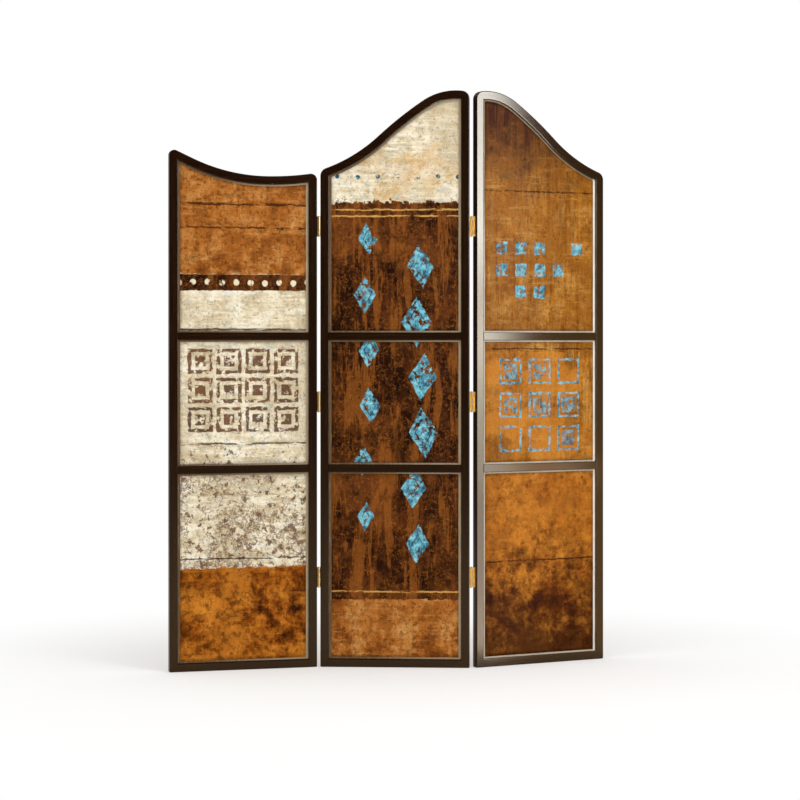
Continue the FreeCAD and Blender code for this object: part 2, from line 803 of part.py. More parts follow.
def leaves(label, place, side, first_knuckle):
    """The leaves of one hinge line, with every second knuckle and countersunk holes."""
    body = new_body(label, place)
    low = S.hinge_low_level - S.hinge_height / 2
    plate = new_sketch(body, f"{label}_plate", "XY_Plane", low)
    near = (S.knuckle_radius - S.leaf_thickness) * side
    far = S.knuckle_radius * side
    start = S.knuckle_radius + S.leaf_clearance
    add_rectangle(plate, near, start, far, S.leaf_depth)
    pad(body, plate, S.hinge_height, symmetric=False)
    knuckle = new_sketch(body, f"{label}_knuckle", "XY_Plane", low + KNUCKLE_PITCH * first_knuckle)
    knuckle_profile(knuckle, side)
    roll = pad(body, knuckle, KNUCKLE_LENGTH, symmetric=False)
    DOC.recompute()
    own_knuckles = range(first_knuckle, KNUCKLES, 2)
    repeated(body, [roll], KNUCKLE_PITCH * 2, len(own_knuckles), whole=False)
    bore = new_sketch(body, f"{label}_bore", "XY_Plane", low)
    add_circle(bore, (as_size(0), as_size(0)), S.pin_radius + S.pin_play)
    pocket(body, bore, S.hinge_height, symmetric=False, away=True)
    holes = new_sketch(body, f"{label}_holes", "YZ_Plane", near)
    for screw in range(SCREWS_PER_LEAF):
        level = S.hinge_low_level + S.screw_spacing * (screw - (SCREWS_PER_LEAF - 1) / 2)
        add_circle(holes, (S.screw_setback, level), S.screw_radius + S.screw_play)
    countersink(body, holes, side)
    repeated(body, [], HINGE_SPACING, HINGE_COUNT, whole=True)
    return body


def countersink(body, sketch, side):
    """Holes drilled from the face towards the pin, opened for the screws' heads."""
    DOC.recompute()
    volume = body.Shape.Volume
    hole = body.newObject("PartDesign::Hole", f"{body.Label}_hole")
    hole.Profile = sketch
    DOC.recompute()
    hole.Threaded = False
    hole.ThreadType = 0
    hole.DepthType = "ThroughAll"
    hole.HoleCutType = "Countersink"
    hole.HoleCutCustomValues = True
    hole.setExpression("Diameter", ((S.screw_radius + S.screw_play) * 2).text)
    hole.setExpression("HoleCutDiameter", ((S.screw_head_radius + S.screw_play) * 2).text)
    hole.HoleCutCountersinkAngle = 90
    hole.Reversed = side > 0
    sketch.Visibility = False
    DOC.recompute()
    stop_if_uncut(hole, body, volume)


def revolved(body, sketch, reference):
    turn = body.newObject("PartDesign::Revolution", f"{body.Label}_turn")
    turn.Profile = sketch
    turn.ReferenceAxis = (sketch, [reference])
    turn.Angle = 360
    sketch.Visibility = False
    DOC.recompute()
    return turn


def pins(label, place):
    """Pins with domed heads, pressed through the knuckles from above and below."""
    body = new_body(label, place)
    bottom = S.hinge_low_level - S.hinge_height / 2
    top = bottom + S.hinge_height
    across = S.pin_head_radius * S.pin_head_radius
    dome = (across + S.pin_head_height * S.pin_head_height) / (S.pin_head_height * 2)
    points = [
        (as_size(0), bottom - S.pin_head_height),
        (S.pin_head_radius, bottom),
        (S.pin_radius, bottom),
        (S.pin_radius, top),
        (S.pin_head_radius, top),
        (as_size(0), top + S.pin_head_height),
    ]
    edges = [(dome, 1), None, None, None, (dome, -1)]
    sketch = new_sketch(body, f"{label}_section")
    add_loop(sketch, points, edges)
    revolved(body, sketch, "V_Axis")
    repeated(body, [], HINGE_SPACING, HINGE_COUNT, whole=True)
    return body


def screws(label, place, side):
    """Slotted countersunk screws, each turned about its own axis, in threes for each hinge."""
    body = new_body(label, place)
    lowest = S.hinge_low_level - S.screw_spacing * ((SCREWS_PER_LEAF - 1) / 2)
    start = S.knuckle_radius - S.leaf_thickness
    head = S.screw_head_radius - S.screw_radius
    stations = [
        (start + S.screw_length, as_size(0)),
        (start, as_size(0)),
        (start, S.screw_head_radius),
        (start + head, S.screw_radius),
        (start + S.screw_length - S.screw_radius, S.screw_radius),
    ]
    points = [(x * side, S.screw_setback + y) for x, y in stations]
    sketch = new_sketch(body, f"{label}_section", "XY_Plane", lowest)
    add_loop(sketch, points)
    revolved(body, sketch, "Edge1")
    slot = new_sketch(body, f"{label}_slot", "YZ_Plane", start * side)
    across = S.screw_head_radius + S.overrun
    half = S.slot_width / 2
    add_rectangle(slot, S.screw_setback - across, lowest - half, S.screw_setback + across, lowest + half)
    pocket(body, slot, S.slot_depth * 2)
    repeated(body, [], S.screw_spacing, SCREWS_PER_LEAF, whole=True)
    repeated(body, [], HINGE_SPACING, HINGE_COUNT, whole=True)
    return body


def hinge_line(name, pin, angle, turn):
    """Everything that joins one side panel to the centre panel. A turn of 180 puts the pins behind."""
    centre_place = (pin[0], pin[1], turn)
    panel_place = (pin[0], pin[1], turn + angle)
    return [
        leaves(f"{name}_hinge_centre_leaves", centre_place, 1, 0),
        leaves(f"{name}_hinge_panel_leaves", panel_place, -1, 1),
        pins(f"{name}_hinge_pins", centre_place),
        screws(f"{name}_hinge_centre_screws", centre_place, 1),
        screws(f"{name}_hinge_panel_screws", panel_place, -1),
    ]


def panel_pieces(name):
    """All the pieces of one panel."""
    panel = PANELS[name]
    place = PLACES[name]
    radii = panel["corners"]
    tops = [top_corner(f"{name}_top_left", 0, panel["top"], radii[0]),
            top_corner(f"{name}_top_right", -1, panel["top"], radii[1])]
    bottoms = [bottom_corner(f"{name}_bottom_left", 0), bottom_corner(f"{name}_bottom_right", -1)]
    pieces = []
    for index, label in enumerate(panel["stiles"]):
        hinge_side = panel["hinged"][index]
        pieces.append(stile(label, place, bottoms[index], tops[index], 1 - 2 * index, hinge_side))
    pieces.append(top_rail(f"{name}_top_rail", place, panel, tops))
    pieces.append(bottom_rail(f"{name}_bottom_rail", place, bottoms))
    pieces.append(crossbar(f"{name}_upper_crossbar", place, S.upper_crossbar_level))
    pieces.append(crossbar(f"{name}_lower_crossbar", place, S.lower_crossbar_level))
    pieces.append(corner_splines(f"{name}_corner_splines", place, tops + bottoms))
    for opening in ("upper", "middle", "lower"):
        pieces.append(board(f"{name}_{opening}_board", place, panel, opening))
        pieces.append(canvas(f"{name}_{opening}_front_canvas", place, panel, opening, CANVAS_OFFSET))
        pieces.append(canvas(f"{name}_{opening}_back_canvas", place, panel, opening, -CANVAS_OFFSET))
    return pieces


def check_and_write(pieces):
    """Stops at anything that failed, then writes one file for each piece."""
    DOC.recompute()
    for item in DOC.Objects:
        if "Invalid" in item.State or "Error" in item.State:
            raise RuntimeError(f"{item.Label} failed to recompute")
    os.makedirs("parts", exist_ok=True)
    for piece in pieces:
        shape = piece.Shape
        if shape.isNull() or not shape.isValid():
            raise RuntimeError(f"{piece.Label} has no valid shape")
    for piece in pieces:
        piece.Shape.exportStep(f"parts/{piece.Label}.step")


def main():
    pieces = []
    for name in PANELS:
        pieces += panel_pieces(name)
    pieces += hinge_line("left", LEFT_PIN, S.left_fold_angle, as_size(0))
    pieces += hinge_line("right", RIGHT_PIN, S.right_fold_angle, as_size(180))
    check_and_write(pieces)


main()
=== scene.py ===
import json
import math

import bmesh
import bpy
from mathutils import Matrix, Vector


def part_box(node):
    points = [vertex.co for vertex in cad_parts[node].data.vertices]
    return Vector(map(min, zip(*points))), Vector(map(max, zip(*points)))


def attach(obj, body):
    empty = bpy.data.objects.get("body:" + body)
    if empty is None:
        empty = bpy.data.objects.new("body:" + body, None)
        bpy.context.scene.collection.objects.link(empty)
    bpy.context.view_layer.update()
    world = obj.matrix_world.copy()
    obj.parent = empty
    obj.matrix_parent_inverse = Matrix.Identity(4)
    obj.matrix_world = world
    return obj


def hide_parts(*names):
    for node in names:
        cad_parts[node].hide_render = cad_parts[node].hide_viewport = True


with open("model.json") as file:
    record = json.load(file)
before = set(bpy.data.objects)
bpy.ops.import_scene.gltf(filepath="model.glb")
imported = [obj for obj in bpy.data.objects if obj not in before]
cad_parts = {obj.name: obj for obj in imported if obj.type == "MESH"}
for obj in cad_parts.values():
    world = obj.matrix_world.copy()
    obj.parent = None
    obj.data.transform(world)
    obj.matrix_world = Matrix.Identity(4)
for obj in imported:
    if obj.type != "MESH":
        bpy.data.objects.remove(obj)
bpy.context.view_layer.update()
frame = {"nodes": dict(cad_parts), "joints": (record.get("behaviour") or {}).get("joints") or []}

bl_info = {
    "name": "Painted folding screen",
    "version": (1, 0, 0),
    "blender": (4, 5, 0),
    "location": "3D View > Sidebar > Folding Screen",
    "description": "Dresses a three-panel folding screen in lacquer, painted canvas and brass",
    "category": "Object",
}

MM = 0.001
PANEL_NAMES = ("left", "centre", "right")
OPENINGS = ("upper", "middle", "lower")
# The centre panel's middle is at x 0
PANEL_WIDTH = -2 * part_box("centre_left_stile")[0][0]
PINS = {joint["child"]: Vector(joint["pos_m"]) for joint in frame["joints"]}
UPRIGHTS = (
    "left_outer_stile", "left_hinge_stile", "centre_left_stile",
    "centre_right_stile", "right_hinge_stile", "right_outer_stile",
)
LEVEL_MEMBERS = ("top_rail", "bottom_rail", "upper_crossbar", "lower_crossbar")

# How far, in millimetres, torn edges of paint stray at a level and round an ornament
WANDER = 14
RAGGED = 22
# The middle of a panel, in millimetres from its left edge
MIDDLE = 237
# Where the five tones of a paint lie along its noise
TONE_STOPS = (0.39, 0.46, 0.50, 0.55, 0.62)
GREY_SPECKLE = ((0.36, 0.36, 0.36), (0.64, 0.64, 0.64))
# The warmth that the lacquer gives to what it mirrors
LACQUER_TINT = (1.0, 0.76, 0.45)
# Shares of a panel's width between which the painted shade on its primer fades from full to none
SHADE_FADES = (0.15, 0.85)
# Heights, in metres, between which painted shade darkens the right panel's margins towards its sloping top,
# and how far from its outer edge, in millimetres, the painted light on its far margin begins and is full
TOP_SHADE_FADES = (1.35, 1.5)
LIT_FAR_MARGIN = (37, 35)

# Slow waves in the cut edge of a canvas: pace, shift and share of each
EDGE_WAVES = ((31.0, 1.0, 0.5), (83.0, 2.3, 0.3), (211.0, 4.1, 0.2))
# Points of an outline that lie closer than this, in metres, are one
SAME_PLACE = 1e-6

# The card that the right panel's lacquer mirrors: where it stands, its turn in degrees and its corners
CARD_PLACE = (0.607, -0.179, 0.0)
CARD_TURN = 60.1
CARD_CORNERS = ((-0.08, -0.3), (0.6, -0.3), (0.6, 1.96), (-0.08, 1.96))
# Its colour at full strength, at shares of this height from the floor
GLEAM_HEIGHT = 2.0
GLEAM_STOPS = (
    (0.0, (0.206, 0.225, 0.29)),
    (0.12, (0.135, 0.148, 0.205)),
    (0.25, (0.113, 0.135, 0.19)),
    (0.415, (0.222, 0.278, 0.371)),
    (0.515, (0.38, 0.46, 0.63)),
    (0.586, (0.322, 0.387, 0.532)),
    (0.70, (0.537, 0.684, 1.0)),
    (0.85, (0.467, 0.595, 0.873)),
)
# Where that colour begins to fade across the card, and where it is gone
GLEAM_FADES = (-0.01, 0.22)
# The warm light of the whole card, strongest at the floor, and the height at which it is gone
LOW_GLOW = (0.034, 0.027, 0.0165)
LOW_GLOW_TOP = 2.4
# Its light beside the lower crossbar, and where this comes and goes, upwards and across
BAR_GLOW = (0.077, 0.064, 0.064)
BAR_GLOW_FOOT = (0.53, 0.57)
BAR_GLOW_TOP = (0.63, 0.67)
BAR_GLOW_START = (0.0, 0.1)
BAR_GLOW_END = (0.235, 0.425)

# The floor: its radius, its two tones, how white the camera sees it under the screen, and how far
# from the middle that begins to rise and is full
FLOOR_RADIUS = 5.0
FLOOR_TONES = ((246, 245, 242), (250, 249, 247))
FLOOR_WHITE = 0.3
FLOOR_WHITENS = (0.7, 1.9)
# Directions, towards the back and the right, between which glossy finishes come to show the backdrop
BACKDROP_DEPTH = (-0.2, 0.35)
BACKDROP_SIDE = (-0.8, -0.6)
# The softboxes: where each hangs, where it aims, its width and its height
SOFTBOXES = {
    "key": ((2.9, -3.1, 2.6), (0.1, 0.0, 1.0), 1.6, 2.2),
    "fill": ((-3.2, -3.4, 1.9), (-0.2, 0.0, 0.9), 1.8, 2.0),
    "overhead": ((0.0, -0.6, 4.2), (0.0, 0.0, 0.0), 3.0, 3.0),
}
# The camera: its sensor and lens in millimetres, the lens's shift as a share of the sensor, how far
# it sees, where it stands and its turn in degrees
SENSOR_WIDTH = 36.0
LENS_LENGTH = 104.67
LENS_SHIFT = -0.0737
SIGHT = 60.0
CAMERA_PLACE = (0.450, -7.372, 1.035)
CAMERA_TURN = 3.37


def srgb(red, green, blue):
    """A colour given as it looks on a monitor, 0 to 255, as the linear values that Blender works in."""
    return tuple(linear(channel / 255) for channel in (red, green, blue))


def linear(channel):
    if channel <= 0.04045:
        return channel / 12.92
    return ((channel + 0.055) / 1.055) ** 2.4


def colour_property(name, description, default):
    return bpy.props.FloatVectorProperty(
        name=name, description=description, subtype="COLOR", size=3, min=0, max=1, default=default)


def length_property(name, description, default):
    return bpy.props.FloatProperty(
        name=name, description=description, default=default, min=0, subtype="DISTANCE", unit="LENGTH")


def level_property(name, description, default, unit="NONE"):
    return bpy.props.FloatProperty(name=name, description=description, default=default, min=0, unit=unit)


class ScreenSizes(bpy.types.PropertyGroup):
    """Sizes and angles that the dressing needs beside the frame's own."""

    left_fold: bpy.props.FloatProperty(
        name="Left fold", description="How far the left panel stands folded forward",
        default=math.radians(18.8), subtype="ANGLE", unit="ROTATION")
    right_fold: bpy.props.FloatProperty(
        name="Right fold", description="How far the right panel stands folded backward",
        default=math.radians(30.8), subtype="ANGLE", unit="ROTATION")
    canvas_rise: length_property(
        "Canvas thickness", "How far a canvas stands out from its board", 0.7 * MM)
    canvas_ripple: length_property(
        "Canvas ripple", "Height of the faint waves in a glued canvas", 0.12 * MM)
    canvas_grid: length_property(
        "Canvas grid", "Spacing of the points in a canvas", 12 * MM)
    edge_wander: length_property(
        "Edge wander", "How far the cut edge of a canvas strays from a straight line", 0.5 * MM)
    thread_pitch: length_property(
        "Thread pitch", "Distance from one thread of the canvas to the next", 1.1 * MM)


class ScreenColours(bpy.types.PropertyGroup):
    """The colours of the finishes."""

    lacquer: colour_property("Lacquer", "Dark espresso lacquer of the frames", srgb(26, 9, 2))
    lacquer_grain: colour_property("Lacquer grain", "Lighter grain under the lacquer", srgb(46, 23, 8))
    rubbed_wood: colour_property("Rubbed wood", "Stain where the lacquer is worn", srgb(84, 52, 28))
    bare_wood: colour_property("Bare wood", "Raw wood of the hidden splines", srgb(176, 138, 92))
    bare_grain: colour_property("Bare grain", "Darker grain of the raw wood", srgb(140, 102, 62))
    primer: colour_property("Board primer", "Cream paint of the boards' margins", srgb(168, 150, 122))
    # Painted shade: the primer darkened where the frame shades the margins at the left and the top
    shaded_primer: colour_property("Shaded primer", "Primer stained at the left and the top", srgb(112, 88, 62))
    # Painted light: the right panel's level margins, paler where the lamps light them
    lit_primer: colour_property("Lit primer", "The right panel's level margins", srgb(208, 198, 180))
    # Painted light: the right panel's far margin, near white where it is brightly lit
    brightly_lit_primer: colour_property("Brightly lit primer", "The right panel's far margin", srgb(242, 234, 220))
    chalk: colour_property("Chalk", "Palest tone of the cream paint", srgb(244, 237, 218))
    cream: colour_property("Cream", "Main tone of the cream paint", srgb(228, 215, 184))
    putty: colour_property("Putty", "Deepest tone of the cream paint", srgb(190, 172, 138))
    mist: colour_property("Mist", "Cool patches in the cream paint", srgb(158, 166, 160))
    sand: colour_property("Sand", "Palest tone of the rust paint", srgb(204, 150, 86))
    rust: colour_property("Rust", "Main tone of the rust paint", srgb(168, 100, 38))
    bronze: colour_property("Bronze", "Deepest tone of the rust paint", srgb(100, 50, 16))
    straw: colour_property("Straw", "Palest tone of the ochre paint", srgb(208, 158, 84))
    ochre: colour_property("Ochre", "Main tone of the ochre paint", srgb(172, 110, 34))
    sienna: colour_property("Sienna", "Deepest tone of the ochre paint", srgb(114, 62, 14))
    umber: colour_property("Umber", "Palest tone of the dark paint", srgb(112, 62, 26))
    espresso: colour_property("Espresso", "Main tone of the dark paint", srgb(52, 25, 10))
    soot: colour_property("Soot", "Deepest tone of the dark paint", srgb(22, 9, 3))
    amber: colour_property("Amber", "Palest tone of the ember paint", srgb(206, 130, 44))
    ember: colour_property("Ember", "Main tone of the ember paint", srgb(150, 80, 18))
    char: colour_property("Char", "Deepest tone of the ember paint", srgb(50, 20, 5))
    turquoise: colour_property("Turquoise", "Palest tone of the blue paint", srgb(138, 208, 220))
    teal: colour_property("Teal", "Main tone of the blue paint", srgb(88, 162, 184))
    deep_teal: colour_property("Deep teal", "Deepest tone of the blue paint", srgb(42, 88, 104))
    brass: colour_property("Brass", "Polished brass of the hinges", srgb(252, 220, 138))
    tarnish: colour_property("Tarnish", "Duller brass where it is handled less", srgb(218, 168, 92))
    # Brown brass: painted shade on the left hinges, and a share of it on the screws
    shaded_brass: colour_property("Shaded brass", "Brass gone brown with age", srgb(150, 112, 66))


class StudioLevels(bpy.types.PropertyGroup):
    """Strengths of the studio's lights."""

    sky: level_property("Sky", "Strength of the soft light from all round", 0.62)
    room: level_property("Room", "How bright the room in front shows in glossy finishes", 0.02)
    backdrop: level_property("Backdrop", "How bright the backdrop shows in glossy finishes", 0.4)
    gleam: level_property("Gleam", "Brightness of the card that shows in the right panel's lacquer", 50.0)
    key: level_property("Key", "Power of the large softbox at the right", 62, "POWER")
    fill: level_property("Fill", "Power of the softbox at the left", 26, "POWER")
    overhead: level_property("Overhead", "Power of the softbox above", 60, "POWER")


# Shader nodes


class Wire:
    """A node's output. Python's signs on it add the Math nodes that they stand for."""

    def __init__(self, shader, socket):
        self.shader = shader
        self.socket = socket

    def math(self, operation, first, second=0.0):
        return self.shader.add("ShaderNodeMath", {"operation": operation}, {0: first, 1: second})

    def or_more(self, other):
        """The larger of this value and another."""
        return self.math("MAXIMUM", self, other)

    def __add__(self, other):
        return self.math("ADD", self, other)

    def __sub__(self, other):
        return self.math("SUBTRACT", self, other)

    def __mul__(self, other):
        return self.math("MULTIPLY", self, other)

    def __truediv__(self, other):
        return self.math("DIVIDE", self, other)

    def __lt__(self, other):
        return self.math("LESS_THAN", self, other)

    def __gt__(self, other):
        return self.math("GREATER_THAN", self, other)

    def __abs__(self):
        return self.math("ABSOLUTE", self)

    def __pow__(self, other):
        return self.math("POWER", self, other)

    def __rsub__(self, other):
        return self.math("SUBTRACT", other, self)

    def __rtruediv__(self, other):
        return self.math("DIVIDE", other, self)

    __radd__ = __add__
    __rmul__ = __mul__


class Shader:
    """A material's nodes, added one by one and joined by what they are given."""

    def __init__(self, tree):
        self.tree = tree
        tree.nodes.clear()

    def add(self, kind, settings=None, sockets=None, output=0):
        """Adds a node: its settings first, then the values or wires of its sockets."""
        node = self.tree.nodes.new(kind)
        for name, value in (settings or {}).items():
            if name == "stops":
                self.set_stops(node.color_ramp, value)
            else:
                setattr(node, name, value)
        for name, value in (sockets or {}).items():
            if isinstance(value, Wire):
                self.tree.links.new(value.socket, node.inputs[name])
            else:
                node.inputs[name].default_value = value
        return Wire(self, node.outputs[output])

    def set_stops(self, ramp, stops):
        while len(ramp.elements) < len(stops):
            ramp.elements.new(1.0)
        for element, (place, colour) in zip(ramp.elements, stops):
            element.position = place
            element.color = (*colour, 1.0)

    def mix(self, factor, first, second, blend="MIX"):
        colours = {6: opaque(first), 7: opaque(second)}
        settings = {"data_type": "RGBA", "blend_type": blend}
        return self.add("ShaderNodeMix", settings, {0: factor, **colours}, output=2)

    def ramp(self, value, stops):
        return self.add("ShaderNodeValToRGB", {"stops": stops}, {0: value})

    def noise(self, place, scale, detail=3.0, roughness=0.5, distortion=0.0):
        """Fractal noise, about 0 to 1, with so many features to the metre."""
        sockets = {"Vector": place, "Scale": scale, "Detail": detail, "Roughness": roughness,
                   "Distortion": distortion}
        return self.add("ShaderNodeTexNoise", {"noise_dimensions": "3D"}, sockets)

    def step(self, value, low, high):
        """0 up to low, 1 from high, and smooth between them."""
        sockets = {"Value": value, "From Min": low, "From Max": high}
        return self.add("ShaderNodeMapRange", {"interpolation_type": "SMOOTHSTEP"}, sockets)

    def vector(self, operation, first, second):
        return self.add("ShaderNodeVectorMath", {"operation": operation}, {0: first, 1: second})

    def split(self, vector):
        """The x, y and z of a vector."""
        return [self.add("ShaderNodeSeparateXYZ", None, {0: vector}, output=index) for index in range(3)]

    def object_place(self):
        return self.add("ShaderNodeTexCoord", output="Object")

    def ray(self, kind):
        """What the Light Path node says of the ray that meets the surface."""
        return self.add("ShaderNodeLightPath", output=kind)

    def bump(self, height, distance, strength=1.0):
        sockets = {"Height": height, "Distance": distance, "Strength": strength}
        return self.add("ShaderNodeBump", None, sockets)

    def surface(self, **sockets):
        """A Principled surface. A socket's name is given with an underscore for each space."""
        named = {name.replace("_", " "): value for name, value in sockets.items()}
        self.output(self.add("ShaderNodeBsdfPrincipled", None, named))

    def output(self, shader, kind="ShaderNodeOutputMaterial"):
        node = self.tree.nodes.new(kind)
        self.tree.links.new(shader.socket, node.inputs["Surface"])


def opaque(colour):
    if isinstance(colour, Wire):
        return colour
    return (*tuple(colour)[:3], 1.0)


def new_material(name):
    material = bpy.data.materials.new(name)
    material.use_nodes = True
    return material, Shader(material.node_tree)


# Meshes and objects


def mesh_data(name, mesh):
    """Turns a mesh that was being edited into data for an object."""
    data = bpy.data.meshes.new(name)
    mesh.to_mesh(data)
    mesh.free()
    return data


def add_to_scene(name, data):
    """A new object in the scene."""
    piece = bpy.data.objects.new(name, data)
    bpy.context.scene.collection.objects.link(piece)
    return piece


# Where each panel stands


def panel_place(panel):
    """A panel's own frame: x from its left edge, y from the middle of its thickness, z from the floor."""
    sizes = bpy.context.scene.screen_sizes
    if panel == "centre":
        return Matrix.Translation((-PANEL_WIDTH / 2, 0, 0))
    pin = PINS[f"{panel}_panel"]
    half_gap = abs(pin.x) - PANEL_WIDTH / 2
    local_x = PANEL_WIDTH + half_gap if panel == "left" else -half_gap
    turn = Matrix.Rotation(getattr(sizes, f"{panel}_fold"), 4, "Z")
    return Matrix.Translation(pin) @ turn @ Matrix.Translation((-local_x, -pin.y, 0))


def place_in_panel(shader, panel, point):
    """A point given in the frame of the whole screen, as one in the panel's own frame."""
    mapped = panel_place(panel).inverted()
    sockets = {"Vector": point, "Location": mapped.to_translation(), "Rotation": mapped.to_euler()}
    return shader.add("ShaderNodeMapping", {"vector_type": "POINT"}, sockets)


# Lacquered wood


def lacquer_material(panel, upright):
    """Espresso lacquer over close grain that runs along the member, rubbed thin at the arrises."""
    colours = bpy.context.scene.screen_colours
    run = "upright" if upright else "level"
    material, shader = new_material(f"{panel}_{run}_lacquer")
    place = place_in_panel(shader, panel, shader.object_place())
    stretch = (90.0, 90.0, 3.0) if upright else (3.0, 90.0, 90.0)
    along = shader.vector("MULTIPLY", place, stretch)
    pores = shader.noise(along, 5.0, detail=5.0, roughness=0.65, distortion=0.3)
    cathedral = shader.noise(along, 0.6, detail=3.0, roughness=0.55, distortion=1.2)
    cloud = shader.noise(place, 3.5, detail=2.0)
    grain = shader.step(pores * 0.6 + cathedral * 0.4, 0.42, 0.66)
    colour = shader.mix(grain * 0.75, colours.lacquer, colours.lacquer_grain)
    colour = shader.mix(shader.step(cloud, 0.35, 0.7) * 0.3, colour, colours.lacquer)
    rubbed = rubbed_arris(shader, panel, place)
    colour = shader.mix(rubbed, colour, colours.rubbed_wood)
    dust = shader.noise(place, 210.0, detail=2.0)
    ripple = shader.noise(along, 1.4, detail=2.0)
    shader.surface(
        Base_Color=colour,
        Roughness=0.2 + grain * 0.05 + dust * 0.05 + rubbed * 0.2,
        Specular_IOR_Level=0.45,
        Specular_Tint=opaque(LACQUER_TINT),
        Normal=shader.bump(ripple * 0.7 + pores * 0.3, 0.12 * MM, 0.5),
    )
    return material


def rubbed_arris(shader, panel, place):
    """A broken line along the rounded edges, where the lacquer is worn."""
    normal = shader.add("ShaderNodeTexCoord", output="Normal")
    turned = shader.add("ShaderNodeVectorRotate", {"rotation_type": "Z_AXIS"},
                        {"Vector": normal, "Angle": -panel_place(panel).to_euler().z})
    facing = abs(shader.split(turned)[1])
    arris = shader.step(facing, 0.35, 0.65) * (1 - shader.step(facing, 0.8, 0.97))
    patches = shader.step(shader.noise(place, 26.0, detail=5.0, roughness=0.7), 0.6, 0.74)
    return arris * patches * 0.55


def bare_wood_material():
    """Raw hardwood of the hidden splines."""
    colours = bpy.context.scene.screen_colours
    material, shader = new_material("bare_spline_wood")
    along = shader.vector("MULTIPLY", shader.object_place(), (60.0, 60.0, 8.0))
    grain = shader.noise(along, 4.0, detail=4.0, roughness=0.6)
    colour = shader.mix(shader.step(grain, 0.35, 0.7), colours.bare_wood, colours.bare_grain)
    shader.surface(Base_Color=colour, Roughness=0.6 + grain * 0.2)
    return material


def primer_material(panel):
    """Cream paint brushed on the boards, uneven, with painted shade and painted light that differ from
    panel to panel.
    """
    colours = bpy.context.scene.screen_colours
    material, shader = new_material(f"{panel}_board_primer")
    place = place_in_panel(shader, panel, shader.object_place())
    brushed = shader.noise(shader.vector("MULTIPLY", place, (160.0, 160.0, 12.0)), 2.0, detail=4.0)
    cloud = shader.noise(place, 14.0, detail=4.0, roughness=0.6)
    across, _, level = shader.split(place)
    # Painted light on the right panel's margins, near white at its far edge, with painted shade towards its
    # top
    if panel == "right":
        shaded_under_top = shader.mix(0.5, colours.shaded_primer, colours.primer)
        colour = shader.mix(shader.step(level, *TOP_SHADE_FADES), colours.lit_primer, shaded_under_top)
        lit_far_margin = shader.step(across, *(PANEL_WIDTH - length * MM for length in LIT_FAR_MARGIN))
        colour = shader.mix(lit_far_margin, colour, colours.brightly_lit_primer)
    else:
        # Painted shade on the margins at the left of the panel, fading towards the right
        unshaded = shader.step(across, *(PANEL_WIDTH * share for share in SHADE_FADES))
        colour = shader.mix(unshaded, colours.shaded_primer, colours.primer)
    colour = shader.mix(shader.step(cloud, 0.4, 0.7) * 0.2, colour, colours.umber)
    colour = shader.mix(shader.step(brushed, 0.5, 0.75) * 0.2, colour, colours.chalk)
    shader.surface(
        Base_Color=colour,
        Roughness=0.55 + brushed * 0.2,
        Specular_IOR_Level=0.06,
        Normal=shader.bump(brushed, 0.15 * MM, 0.6),
    )
    return material


# Brass


def brass_material(name, browning):
    """Plated brass with fine polishing lines and a duller bloom in patches. Browning goes from 0 to 1 and
    darkens the brass towards brown; on the left hinges it is painted shade.
    """
    colours = bpy.context.scene.screen_colours
    material, shader = new_material(name)
    place = shader.object_place()
    bloom = shader.noise(place, 120.0, detail=5.0, roughness=0.65)
    lines = shader.noise(shader.vector("MULTIPLY", place, (900.0, 900.0, 40.0)), 1.0, detail=3.0)
    patch = shader.step(bloom, 0.45 - browning * 0.2, 0.8)
    colour = shader.mix(patch * 0.55, colours.brass, colours.tarnish)
    # Browning mixes in the brown brass: painted shade on the left hinges
    colour = shader.mix((0.35 + patch * 0.5) * browning, colour, colours.shaded_brass)
    shader.surface(
        Base_Color=colour,
        Metallic=0.7,
        Roughness=0.3 + patch * 0.14 + lines * 0.08,
        Normal=shader.bump(lines, 0.02 * MM, 0.5),
    )
    return material


# Paint on canvas
# A painting's lengths are in millimetres in the panel's own frame: x from the panel's left edge
# and z from the floor. Its grounds are colours, and its ornaments are masks from 0 to 1.


